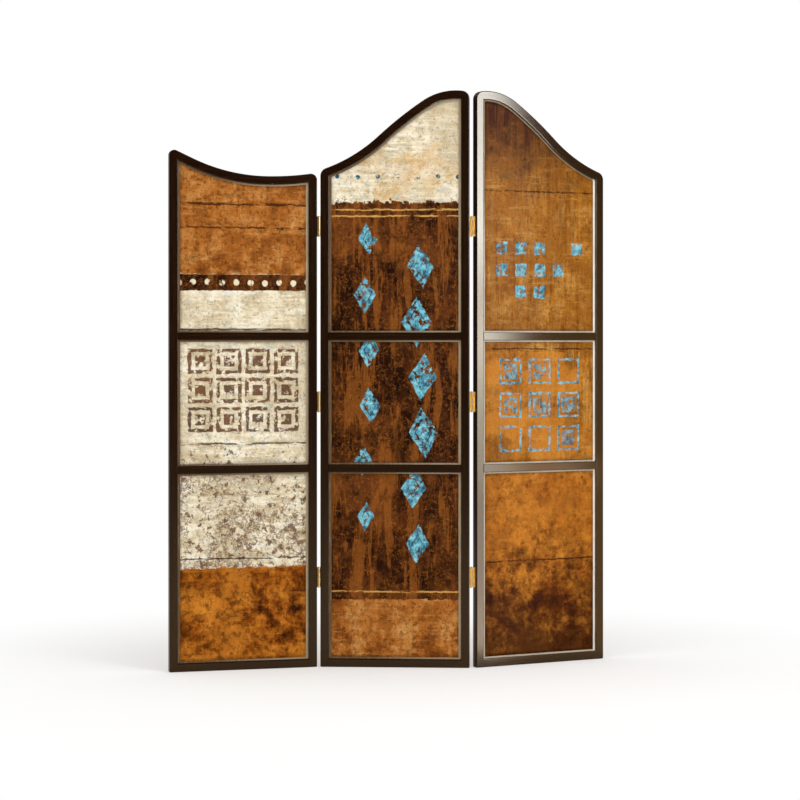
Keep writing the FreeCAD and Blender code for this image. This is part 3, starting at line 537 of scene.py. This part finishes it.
class Painting:
    """The shader of one painting, with the noises that all of its layers share."""

    def __init__(self, name, seed):
        self.colours = bpy.context.scene.screen_colours
        self.material, self.shader = new_material(name)
        place = self.shader.object_place()
        x, _, z = self.shader.split(place)
        self.x = x / MM
        self.z = z / MM
        self.place = self.shader.vector("ADD", place, (seed, 0.0, seed))
        self.mottle = self.noise(13.0, 10.0, 0.72)
        self.tear = self.noise(36.0, 8.0, 0.72)
        self.grit = self.noise(105.0, 6.0, 0.7)
        self.drag_down = self.dragged(70.0, 5.0)
        self.drag_across = self.dragged(6.0, 62.0)

    def noise(self, scale, detail=5.0, roughness=0.6):
        return self.shader.noise(self.place, scale, detail, roughness)

    def dragged(self, across, up):
        """Brush marks: noise with so many features to the metre across and up the panel."""
        stretched = self.shader.vector("MULTIPLY", self.place, (across, across, up))
        return self.shader.noise(stretched, 1.0, 7.0, 0.7)

    def tones(self, value, deep, main, pale):
        """Three tones of one paint, spread over a noise."""
        shades = (deep, halfway(deep, main), main, halfway(main, pale), pale)
        return self.shader.ramp(value, list(zip(TONE_STOPS, shades)))

    def over(self, colour, mask, paint):
        return self.shader.mix(mask, colour, paint)

    def glaze(self, colour, noise, level, share, paint, spread=0.03):
        """Lays a share of a paint where a noise is above a level."""
        return self.over(colour, self.more(noise, level, spread) * share, paint)

    def cream_ground(self):
        colours = self.colours
        brushed = self.mottle * 0.6 + self.drag_across * 0.4
        colour = self.tones(brushed, colours.putty, colours.cream, colours.chalk)
        colour = self.glaze(colour, self.drag_across, 0.55, 0.5, colours.chalk)
        colour = self.glaze(colour, self.noise(4.5), 0.54, 0.5, colours.putty, 0.14)
        colour = self.glaze(colour, self.tear, 0.555, 0.3, colours.mist)
        colour = self.glaze(colour, self.noise(70.0, 9.0, 0.74), 0.575, 0.3, colours.straw, 0.02)
        return self.glaze(colour, self.grit, 0.585, 0.45, colours.umber)

    def rust_ground(self):
        colours = self.colours
        brushed = self.mottle * 0.8 + self.drag_down * 0.2
        colour = self.tones(brushed, colours.bronze, colours.rust, colours.sand)
        colour = self.glaze(colour, self.noise(4.0), 0.5, 0.5, colours.rust, 0.14)
        colour = self.glaze(colour, self.drag_across, 0.57, 0.3, colours.sand)
        colour = self.glaze(colour, self.tear, 0.55, 0.45, colours.bronze)
        return self.glaze(colour, self.grit, 0.57, 0.5, colours.char)

    def ochre_ground(self):
        colours = self.colours
        brushed = self.mottle * 0.45 + self.drag_down * 0.55
        colour = self.tones(brushed, colours.sienna, colours.ochre, colours.straw)
        colour = self.glaze(colour, self.noise(3.5), 0.5, 0.5, colours.ochre, 0.16)
        colour = self.glaze(colour, self.drag_down, 0.56, 0.55, colours.sienna)
        colour = self.glaze(colour, self.drag_across, 0.57, 0.35, colours.straw)
        return self.glaze(colour, self.grit, 0.575, 0.45, colours.char)

    def dark_ground(self):
        colours = self.colours
        brushed = self.mottle * 0.7 + self.tear * 0.3
        colour = self.tones(brushed, colours.soot, colours.espresso, colours.umber)
        colour = self.glaze(colour, self.noise(4.0, 6.0), 0.52, 0.6, colours.umber, 0.12)
        colour = self.glaze(colour, self.noise(6.5, 8.0, 0.66), 0.53, 0.7, colours.soot, 0.05)
        colour = self.glaze(colour, self.drag_down, 0.555, 0.5, colours.bronze)
        streaks = self.over(colours.bronze, self.tear, colours.rust)
        colour = self.glaze(colour, self.dragged(26.0, 3.2), 0.535, 0.6, streaks, 0.05)
        colour = self.glaze(colour, self.dragged(9.0, 5.0), 0.54, 0.6, colours.soot, 0.06)
        colour = self.over(colour, self.cracks() * 0.45, colours.rust)
        return self.glaze(colour, self.grit, 0.59, 0.35, colours.rust)

    def ember_ground(self):
        colours = self.colours
        brushed = self.mottle * 0.85 + self.drag_down * 0.15
        colour = self.tones(brushed, colours.char, colours.ember, colours.amber)
        colour = self.glaze(colour, self.noise(4.0), 0.5, 0.5, colours.ember, 0.14)
        colour = self.glaze(colour, self.noise(5.5, 8.0, 0.68), 0.52, 0.5, colours.amber, 0.08)
        colour = self.glaze(colour, self.tear, 0.545, 0.5, colours.char)
        colour = self.over(colour, self.cracks() * 0.4, colours.char)
        colour = self.glaze(colour, self.noise(60.0, 8.0, 0.72), 0.55, 0.35, colours.char, 0.02)
        return self.glaze(colour, self.drag_across, 0.575, 0.25, colours.amber)

    def blue_paint(self):
        colours = self.colours
        colour = self.tones(self.noise(44.0, 8.0, 0.7), colours.deep_teal, colours.teal, colours.turquoise)
        return self.glaze(colour, self.drag_down, 0.56, 0.4, colours.turquoise)

    def more(self, noise, level, spread=0.03):
        """1 where a noise is above a level, and 0 below it."""
        return self.shader.step(noise, level - spread / 2, level + spread / 2)

    def cracks(self, scale=17.0, thickness=0.007):
        """Lines that wander as cracks do."""
        away = abs(self.noise(scale, 9.0, 0.68) - 0.5)
        return 1 - self.shader.step(away, thickness * 0.3, thickness)

    def above(self, level, wander=WANDER):
        """1 above a level, with a torn edge."""
        ragged = self.z + (self.tear - 0.5) * wander * 3
        return self.shader.step(ragged, level - 1, level + 1)

    def band(self, low, high, wander=WANDER):
        return self.above(low, wander) * (1 - self.above(high, wander))

    def rule(self, level, thickness):
        """A thin line at a level, broken where the brush ran dry."""
        wavering = self.z + (self.tear - 0.5) * WANDER
        line = 1 - self.shader.step(abs(wavering - level), thickness * 0.3, thickness * 0.7)
        return line * self.more(self.dragged(16.0, 120.0), 0.46, 0.06)

    def worn(self, mask, level=0.545):
        """A mask with paint flaked out of it."""
        return mask * (1 - self.more(self.noise(58.0, 8.0, 0.72), level, 0.02))

    def cell(self, value, pitch, middle):
        """How far a coordinate lies from the middle of its cell, and that cell's number."""
        shifted = (value - (middle - pitch / 2)) / pitch
        number = self.shader.add("ShaderNodeMath", {"operation": "FLOOR"}, {0: shifted})
        return (shifted - number - 0.5) * pitch, number

    def draw(self, number, salt):
        """A steady random number, 0 to 1, for a cell."""
        return self.shader.add("ShaderNodeTexWhiteNoise", {"noise_dimensions": "1D"}, {"W": number + salt})

    def inside(self, signed, ragged=RAGGED):
        """1 where a signed distance is below 0, with a torn edge."""
        torn = signed + (self.tear - 0.5) * ragged
        return 1 - self.shader.step(torn, -1, 1)

    def lozenges(self, centre, first, pitch, count, half_width, half_height):
        """A column of upright lozenges that lean a little, as a signed distance and where they stand."""
        up, number = self.cell(self.z, pitch, first)
        aside = (self.draw(number, 1.3) - 0.5) * half_width * 0.6
        lean = (self.draw(number, 3.1) - 0.5) * 0.34
        size = 0.72 + self.draw(number, 7.7) * 0.3
        across = self.x - centre - aside - up * lean
        spread = abs(across) / half_width + abs(up) / half_height
        return (spread - size) * half_width, (number > -0.5) * (number < count - 0.5)

    def squares(self, centre, level, pitch, columns, rows, half):
        """A grid of squares, as a signed distance, where they stand and a random number for each."""
        across, column = self.cell(self.x, pitch, centre - pitch * (columns - 1) / 2)
        up, row = self.cell(self.z, pitch, level - pitch * (rows - 1) / 2)
        signed = abs(across).or_more(abs(up)) - half
        width = abs(self.x - centre) < pitch * columns / 2
        height = abs(self.z - level) < pitch * rows / 2
        return signed, width * height, self.draw(column * columns + row, 2.9)

    def dots(self, level, middle, pitch, radius):
        """A row of round dots."""
        across, number = self.cell(self.x, pitch, middle)
        up = self.z - level - (self.draw(number, 5.3) - 0.5) * radius * 0.6
        return self.inside((across * across + up * up) ** 0.5 - radius, RAGGED * 0.5)

    def finish(self, colour):
        """Paint over canvas: woven threads, ridges of paint and a dull, uneven sheen."""
        shader = self.shader
        turn = 2 * math.pi / (bpy.context.scene.screen_sizes.thread_pitch / MM)
        warp = shader.add("ShaderNodeMath", {"operation": "SINE"}, {0: self.x * turn})
        weft = shader.add("ShaderNodeMath", {"operation": "SINE"}, {0: self.z * turn})
        threads = warp * weft
        fine = self.noise(330.0, 4.0, 0.6)
        height = self.mottle * 0.5 + self.tear * 0.3 + self.drag_down * 0.2 + self.grit * 0.2
        speckle = shader.ramp(fine + threads * 0.02, [(0.38, GREY_SPECKLE[0]), (0.62, GREY_SPECKLE[1])])
        shader.surface(
            Base_Color=shader.mix(0.5, colour, speckle, blend="OVERLAY"),
            Roughness=0.62 + (self.grit - 0.5) * 0.6 + threads * 0.02,
            Specular_IOR_Level=0.02,
            Normal=shader.bump(height + fine * 0.03 + threads * 0.012, 2.6 * MM, 0.8),
        )
        return self.material


def left_painting():
    """Rust over cream, with a row of dots, a grid of dark squares and a worn brown print below."""
    paint = Painting("left_painting", 11.0)
    colours = paint.colours
    horizon = 1244
    stripe_depth = 50
    foot = 322
    colour = paint.over(paint.cream_ground(), paint.above(horizon), paint.rust_ground())
    print_fades = paint.shader.step(paint.z, foot, 730)
    patches = paint.more(paint.noise(8.0, 6.0, 0.66), 0.47 + print_fades * 0.07, 0.08)
    flakes = paint.more(paint.noise(46.0, 9.0, 0.74), 0.55 + print_fades * 0.03, 0.02)
    printed = paint.cracks(30.0, 0.022).or_more(paint.cracks(21.0, 0.016)) * patches
    printed = printed.or_more(flakes) * (1 - paint.above(700, 60))
    colour = paint.over(colour, printed * 0.85, paint.over(colours.umber, paint.tear, colours.espresso))
    colour = paint.over(colour, 1 - paint.above(foot), paint.ember_ground())
    colour = paint.over(colour, paint.band(horizon - stripe_depth, horizon, 6), paint.dark_ground())
    pearls = paint.worn(paint.dots(horizon - stripe_depth / 2, 30, 46, 9.5))
    colour = paint.over(colour, pearls, colours.cream)
    signed, placed, pick = paint.squares(MIDDLE, 880, 92, 4, 3, 34)
    ring = paint.inside(abs(signed) - 5.5)
    shape = paint.worn((ring + paint.inside(signed + 17, RAGGED * 0.4)) * placed * (pick > 0.14))
    colour = paint.over(colour, shape * 0.9, paint.over(colours.espresso, pick, colours.bronze))
    for level, thickness in ((1072, 6), (712, 6), (foot + 28, 5), (1466, 9), (1392, 6)):
        colour = paint.over(colour, paint.rule(level, thickness) * 0.85, colours.espresso)
    return paint.finish(colour)


def centre_painting():
    """A cream crown over dark brown, with two columns of blue lozenges."""
    paint = Painting("centre_painting", 23.0)
    colours = paint.colours
    horizon = 1478
    foot = 214
    crown = paint.glaze(paint.cream_ground(), paint.noise(6.0, 7.0, 0.66), 0.56, 0.55, colours.straw, 0.16)
    colour = paint.over(paint.dark_ground(), paint.above(horizon, WANDER * 2), crown)
    colour = paint.over(colour, 1 - paint.above(foot), paint.rust_ground())
    blue = paint.blue_paint()
    for centre, first, half_width, half_height in ((312, 392, 50, 84), (146, 478, 36, 62)):
        signed, placed = paint.lozenges(centre, first, 176, 6, half_width, half_height)
        colour = paint.over(colour, paint.worn(paint.inside(signed)) * placed * 0.95, blue)
        spine = paint.inside(abs(signed + half_width * 0.42) - 1.5, RAGGED * 0.5)
        colour = paint.over(colour, spine * placed * 0.75, colours.espresso)
    for level in (horizon - 26, horizon - 46, foot + 26):
        colour = paint.over(colour, paint.rule(level, 5) * 0.9, colours.straw)
    return paint.finish(paint.over(colour, paint.worn(paint.dots(1556, 118, 64, 7)), colours.deep_teal))


def right_painting():
    """Ochre that darkens at the top, over ember, with turquoise squares and thin dark rules."""
    paint = Painting("right_painting", 37.0)
    colours = paint.colours
    crown = 1492
    waist = 1000
    foot = 604
    colour = paint.glaze(paint.ochre_ground(), paint.noise(5.0, 7.0, 0.7), 0.5, 0.45, colours.sienna, 0.14)
    shade = paint.shader.step(paint.z + (paint.mottle - 0.5) * 700, crown - 40, crown + 260)
    shadow = paint.glaze(colours.char, paint.drag_down, 0.53, 0.35, colours.sienna)
    colour = paint.over(colour, shade * 0.95, shadow)
    glow = paint.more(paint.noise(6.0, 8.0, 0.68), 0.5, 0.1) * (1 - paint.above(waist)) * 0.6
    colour = paint.over(colour, glow, colours.amber)
    colour = paint.over(colour, 1 - paint.above(foot, WANDER * 2), paint.ember_ground())
    lit = paint.band(330, foot, WANDER * 5) * paint.more(paint.noise(7.0, 7.0, 0.66), 0.47, 0.12)
    colour = paint.over(colour, lit * 0.35, colours.amber)
    low = 1 - paint.shader.step(paint.z + (paint.mottle - 0.5) * 900, 60, 460)
    colour = paint.over(colour, low * 0.85, colours.char)
    blue = paint.blue_paint()
    signed, placed, pick = paint.squares(MIDDLE, 1262, 70, 5, 3, 20)
    colour = paint.over(colour, paint.worn(paint.inside(signed) * placed * (pick > 0.3)) * 0.92, blue)
    signed, placed, pick = paint.squares(MIDDLE, 830, 108, 3, 3, 37)
    colour = paint.over(colour, paint.worn(paint.inside(abs(signed) - 3.5) * placed) * 0.85, blue)
    filled = paint.inside(signed + 12) * placed * (pick > 0.45)
    colour = paint.over(colour, paint.worn(filled, 0.53) * 0.8, paint.over(blue, 0.25, colours.char))
    for level in (crown + 22, waist + 60, waist + 10, foot + 20, 332):
        colour = paint.over(colour, paint.rule(level, 5) * 0.85, colours.char)
    return paint.finish(colour)


def back_painting():
    """The plain side: tan mottled paint with no ornament."""
    paint = Painting("back_painting", 53.0)
    colour = paint.glaze(paint.rust_ground(), paint.noise(3.0), 0.5, 0.6, paint.ochre_ground(), 0.16)
    return paint.finish(colour)


def halfway(first, second):
    return [(one + other) / 2 for one, other in zip(first, second)]


# Canvases


def node_in_panel(node, panel):
    """A node's points in its panel's own frame."""
    back = panel_place(panel).inverted()
    return [back @ vertex.co for vertex in frame["nodes"][node].data.vertices]


class CanvasOutline:
    """The outline of a canvas, read from the solid that it replaces."""

    def __init__(self, node, panel):
        points = node_in_panel(node, panel)
        self.left = min(point.x for point in points)
        self.right = max(point.x for point in points)
        self.bottom = min(point.z for point in points)
        self.back = min((point.y for point in points), key=abs)
        middle = (self.bottom + max(point.z for point in points)) / 2
        self.top_points = sorted((point.x, point.z) for point in points if point.z > middle)

    def top(self, x):
        """The height of the top edge at a distance across the panel."""
        for (x0, z0), (x1, z1) in zip(self.top_points, self.top_points[1:]):
            if x1 - x0 > SAME_PLACE and x0 - SAME_PLACE <= x <= x1 + SAME_PLACE:
                return z0 + (z1 - z0) * (x - x0) / (x1 - x0)
        return self.top_points[-1][1]

    def flat_area(self):
        steps = 200
        width = (self.right - self.left) / steps
        heights = [self.top(self.left + width * (step + 0.5)) - self.bottom for step in range(steps)]
        return sum(heights) * width

    def flat_size(self):
        return self.right - self.left, max(z for _, z in self.top_points) - self.bottom


def wander(place, seed):
    """A slow wave, -1 to 1, that never repeats over a canvas."""
    return sum(math.sin(place * pace + seed * shift) * share for pace, shift, share in EDGE_WAVES)


def canvas_mesh(name, outline, side):
    """One sheet with its cut edges, in the panel's own frame. Side is -1 at the front and 1 at the back."""
    sizes = bpy.context.scene.screen_sizes
    seed = sum(ord(letter) for letter in name) % 17
    columns = round((outline.right - outline.left) / sizes.canvas_grid)
    rows = round(outline.flat_size()[1] / sizes.canvas_grid)
    mesh = bmesh.new()
    grid = []
    for column in range(columns + 1):
        across = column / columns
        line = []
        for row in range(rows + 1):
            up = row / rows
            x, z = inside_edges(outline, across, up, seed)
            ripple = math.sin(x * 23.0 + seed) * math.sin(z * 17.0 + seed * 1.7) * sizes.canvas_ripple
            line.append(mesh.verts.new((x, outline.back + side * (sizes.canvas_rise - abs(ripple)), z)))
        grid.append(line)
    for near, far in zip(grid, grid[1:]):
        for row in range(rows):
            corners = [near[row], far[row], far[row + 1], near[row + 1]]
            mesh.faces.new(corners if side < 0 else corners[::-1])
    add_cut_edge(mesh, grid, outline.back, side)
    data = mesh_data(name, mesh)
    for polygon in data.polygons:
        polygon.use_smooth = True
    return data


def inside_edges(outline, across, up, seed):
    """A point of the sheet, drawn in from the outline where the cut strays."""
    stray = bpy.context.scene.screen_sizes.edge_wander
    low_z = outline.bottom + stray * (1 + wander(across * 0.4, seed)) / 2
    left = outline.left + stray * (1 + wander(up * 0.7, seed + 1)) / 2
    right = outline.right - stray * (1 + wander(up * 0.7, seed + 2)) / 2
    x = left + (right - left) * across
    high_z = outline.top(x) - stray * (1 + wander(across * 0.4, seed + 3)) / 2
    return x, low_z + (high_z - low_z) * up


def add_cut_edge(mesh, grid, back, side):
    """Turns the border of the sheet down to the board."""
    foot = [line[0] for line in grid]
    head = [line[-1] for line in grid[-2::-1]]
    border = foot + grid[-1][1:] + head + grid[0][-2:0:-1]
    turned = [mesh.verts.new((point.co.x, back, point.co.z)) for point in border]
    for place in range(len(border)):
        corners = [turned[place - 1], turned[place], border[place], border[place - 1]]
        mesh.faces.new(corners if side < 0 else corners[::-1])


def hang_canvas(panel, opening, face, material):
    """Makes one canvas, puts it on its board and lets it stand for the plain solid."""
    node = f"{panel}_{opening}_{face}_canvas"
    outline = CanvasOutline(node, panel)
    name = f"{panel}_{opening}_{face}_painted_canvas"
    piece = add_to_scene(name, canvas_mesh(name, outline, -1 if face == "front" else 1))
    piece.matrix_world = panel_place(panel)
    piece.data.materials.append(material)
    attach(piece, f"{panel}_panel")
    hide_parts(node)
    outline.flat_size()
    outline.flat_area()


def give_material(node, material):
    """Puts one material on all of a node's faces."""
    data = frame["nodes"][node].data
    data.materials.clear()
    data.materials.append(material)


# Operators


class LacquerFrames(bpy.types.Operator):
    """Finish the stiles, rails and crossbars in dark espresso lacquer"""

    bl_idname = "screen.lacquer_frames"
    bl_label = "Lacquer Frames"

    def execute(self, context):
        for panel in PANEL_NAMES:
            upright = lacquer_material(panel, True)
            level = lacquer_material(panel, False)
            for node in UPRIGHTS:
                if node.startswith(panel):
                    give_material(node, upright)
            for member in LEVEL_MEMBERS:
                give_material(f"{panel}_{member}", level)
        bare = bare_wood_material()
        for panel in PANEL_NAMES:
            give_material(f"{panel}_corner_splines", bare)
        return {"FINISHED"}


class PrimeBoards(bpy.types.Operator):
    """Brush cream primer on the boards that carry the canvases"""

    bl_idname = "screen.prime_boards"
    bl_label = "Prime Boards"

    def execute(self, context):
        for panel in PANEL_NAMES:
            primer = primer_material(panel)
            for opening in OPENINGS:
                give_material(f"{panel}_{opening}_board", primer)
        return {"FINISHED"}


class HangCanvases(bpy.types.Operator):
    """Paint the canvases and glue them to the front and the back of the boards"""

    bl_idname = "screen.hang_canvases"
    bl_label = "Hang Canvases"

    def execute(self, context):
        fronts = {"left": left_painting(), "centre": centre_painting(), "right": right_painting()}
        back = back_painting()
        for panel in PANEL_NAMES:
            for opening in OPENINGS:
                hang_canvas(panel, opening, "front", fronts[panel])
                hang_canvas(panel, opening, "back", back)
        return {"FINISHED"}


class PolishHinges(bpy.types.Operator):
    """Give the hinges, their pins and their screws a brass plate, browned by painted shade on the left"""

    bl_idname = "screen.polish_hinges"
    bl_label = "Polish Hinges"

    def execute(self, context):
        screw_brass = brass_material("screw_brass", 0.6)
        # The left hinges are browned as painted shade; the right ones stay bright
        for side, browning in (("left", 1.0), ("right", 0.0)):
            hinge_brass = brass_material(f"{side}_hinge_brass", browning)
            for node in ("centre_leaves", "panel_leaves", "pins"):
                give_material(f"{side}_hinge_{node}", hinge_brass)
            for node in ("centre_screws", "panel_screws"):
                give_material(f"{side}_hinge_{node}", screw_brass)
        return {"FINISHED"}


class SetStage(bpy.types.Operator):
    """Set up the pale studio: floor, sky, softboxes and camera"""

    bl_idname = "screen.set_stage"
    bl_label = "Set Stage"

    def execute(self, context):
        make_floor()
        light_sky(context.scene)
        hang_softboxes()
        stand_gleam_card()
        set_camera(context.scene)
        return {"FINISHED"}


# Stage


def make_floor():
    """A pale floor that fades into the white background away from the screen."""
    mesh = bmesh.new()
    bmesh.ops.create_circle(mesh, cap_ends=True, segments=96, radius=FLOOR_RADIUS)
    floor = add_to_scene("floor", mesh_data("floor", mesh))
    material, shader = new_material("pale_floor")
    x, y, _ = shader.split(shader.object_place())
    distance = (x * x + y * y) ** 0.5
    tone = shader.noise(shader.object_place(), 3.0, detail=3.0)
    pale = shader.mix(tone * 0.3, *(srgb(*shade) for shade in FLOOR_TONES))
    matt = shader.add("ShaderNodeBsdfDiffuse", None, {"Color": pale})
    glow = shader.add("ShaderNodeEmission", None, {"Color": (1.0, 1.0, 1.0, 1.0), "Strength": 1.0})
    whitened = FLOOR_WHITE + shader.step(distance, *FLOOR_WHITENS) * (1 - FLOOR_WHITE)
    seen = whitened * shader.ray("Is Camera Ray")
    shader.output(shader.add("ShaderNodeMixShader", None, {0: seen, 1: matt, 2: glow}))
    floor.data.materials.append(material)


def light_sky(scene):
    """White behind the screen, soft light from all round, and a dim room to show in the lacquer."""
    levels = scene.studio_levels
    world = bpy.data.worlds.new("studio_sky")
    world.use_nodes = True
    scene.world = world
    shader = Shader(world.node_tree)
    aside, depth, _ = shader.split(shader.add("ShaderNodeTexCoord", output="Generated"))
    behind = shader.step(depth, *BACKDROP_DEPTH) * shader.step(aside, *BACKDROP_SIDE)
    glossy_ray = shader.ray("Is Glossy Ray")
    background = shader.ray("Is Camera Ray").or_more(shader.ray("Is Transmission Ray"))
    mirrored = glossy_ray * (levels.room + behind * levels.backdrop)
    soft = (1 - glossy_ray) * levels.sky
    grey = background + (1 - background) * (mirrored + soft)
    sky = shader.add("ShaderNodeBackground", None, {"Color": grey, "Strength": 1.0})
    shader.output(sky, "ShaderNodeOutputWorld")


def softbox(name, place, aim, width, height, power):
    """A lamp that lights the screen and is never seen, by itself or in the lacquer."""
    lamp = bpy.data.lights.new(name, "AREA")
    lamp.shape = "RECTANGLE"
    lamp.size = width
    lamp.size_y = height
    lamp.energy = power
    holder = add_to_scene(name, lamp)
    holder.location = place
    holder.rotation_euler = (Vector(aim) - Vector(place)).to_track_quat("-Z", "Y").to_euler()
    holder.visible_camera = False
    holder.visible_glossy = False


def hang_softboxes():
    levels = bpy.context.scene.studio_levels
    for name, (place, aim, width, height) in SOFTBOXES.items():
        softbox(f"{name}_softbox", place, aim, width, height, getattr(levels, name))


def stand_gleam_card():
    """A glowing card beside the screen, for the lacquer of the right panel to mirror."""
    mesh = bmesh.new()
    mesh.faces.new([mesh.verts.new((x, 0.0, z)) for x, z in CARD_CORNERS])
    card = add_to_scene("gleam_card", mesh_data("gleam_card", mesh))
    card.location = CARD_PLACE
    card.rotation_euler = (0.0, 0.0, math.radians(CARD_TURN))
    for ray in ("camera", "diffuse", "transmission", "shadow"):
        setattr(card, f"visible_{ray}", False)
    material, shader = new_material("gleam_card")
    across, _, height = shader.split(shader.object_place())
    fade = 1 - shader.step(across, *GLEAM_FADES)
    bright = shader.ramp(height / GLEAM_HEIGHT, GLEAM_STOPS)
    faded = shader.mix(1.0, bright, fade * fade, blend="MULTIPLY")
    low = 1 - shader.step(height, 0.0, LOW_GLOW_TOP)
    glow = shader.mix(1.0, LOW_GLOW, low, blend="MULTIPLY")
    beside = shader.step(height, *BAR_GLOW_FOOT) * (1 - shader.step(height, *BAR_GLOW_TOP))
    along = shader.step(across, *BAR_GLOW_START) * (1 - shader.step(across, *BAR_GLOW_END))
    bar_glow = shader.mix(1.0, BAR_GLOW, beside * along, blend="MULTIPLY")
    colour = shader.mix(1.0, shader.mix(1.0, faded, glow, blend="ADD"), bar_glow, blend="ADD")
    gleam = bpy.context.scene.studio_levels.gleam
    shader.output(shader.add("ShaderNodeEmission", None, {"Color": colour, "Strength": gleam}))
    card.data.materials.append(material)


def set_camera(scene):
    """The camera at the viewing angle of the original picture."""
    lens = bpy.data.cameras.new("camera")
    lens.sensor_width = SENSOR_WIDTH
    lens.lens = LENS_LENGTH
    lens.shift_y = LENS_SHIFT
    lens.clip_end = SIGHT
    camera = add_to_scene("camera", lens)
    camera.location = CAMERA_PLACE
    camera.rotation_euler = (math.radians(90), 0, math.radians(CAMERA_TURN))
    scene.camera = camera
    scene.view_settings.view_transform = "Standard"


class FoldingScreenPanel(bpy.types.Panel):
    """Lists the steps that dress the folding screen"""

    bl_idname = "VIEW3D_PT_folding_screen"
    bl_label = "Folding Screen"
    bl_space_type = "VIEW_3D"
    bl_region_type = "UI"
    bl_category = "Folding Screen"

    def draw(self, context):
        for operator in OPERATORS:
            self.layout.operator(operator.bl_idname)
        for group in ("screen_sizes", "screen_colours", "studio_levels"):
            settings = getattr(context.scene, group)
            box = self.layout.box()
            for name in settings.bl_rna.properties.keys():
                if name not in ("rna_type", "name"):
                    box.prop(settings, name)


OPERATORS = (LacquerFrames, PrimeBoards, HangCanvases, PolishHinges, SetStage)
GROUPS = {"screen_sizes": ScreenSizes, "screen_colours": ScreenColours, "studio_levels": StudioLevels}


def register():
    for group in GROUPS.values():
        bpy.utils.register_class(group)
    for name, group in GROUPS.items():
        setattr(bpy.types.Scene, name, bpy.props.PointerProperty(type=group))
    for item in (*OPERATORS, FoldingScreenPanel):
        bpy.utils.register_class(item)


def unregister():
    for item in (FoldingScreenPanel, *OPERATORS[::-1]):
        bpy.utils.unregister_class(item)
    for name, group in GROUPS.items():
        delattr(bpy.types.Scene, name)
        bpy.utils.unregister_class(group)


def main():
    register()
    bpy.ops.screen.lacquer_frames()
    bpy.ops.screen.prime_boards()
    bpy.ops.screen.hang_canvases()
    bpy.ops.screen.polish_hinges()
    bpy.ops.screen.set_stage()
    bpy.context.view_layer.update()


if __name__ == "__main__":
    main()
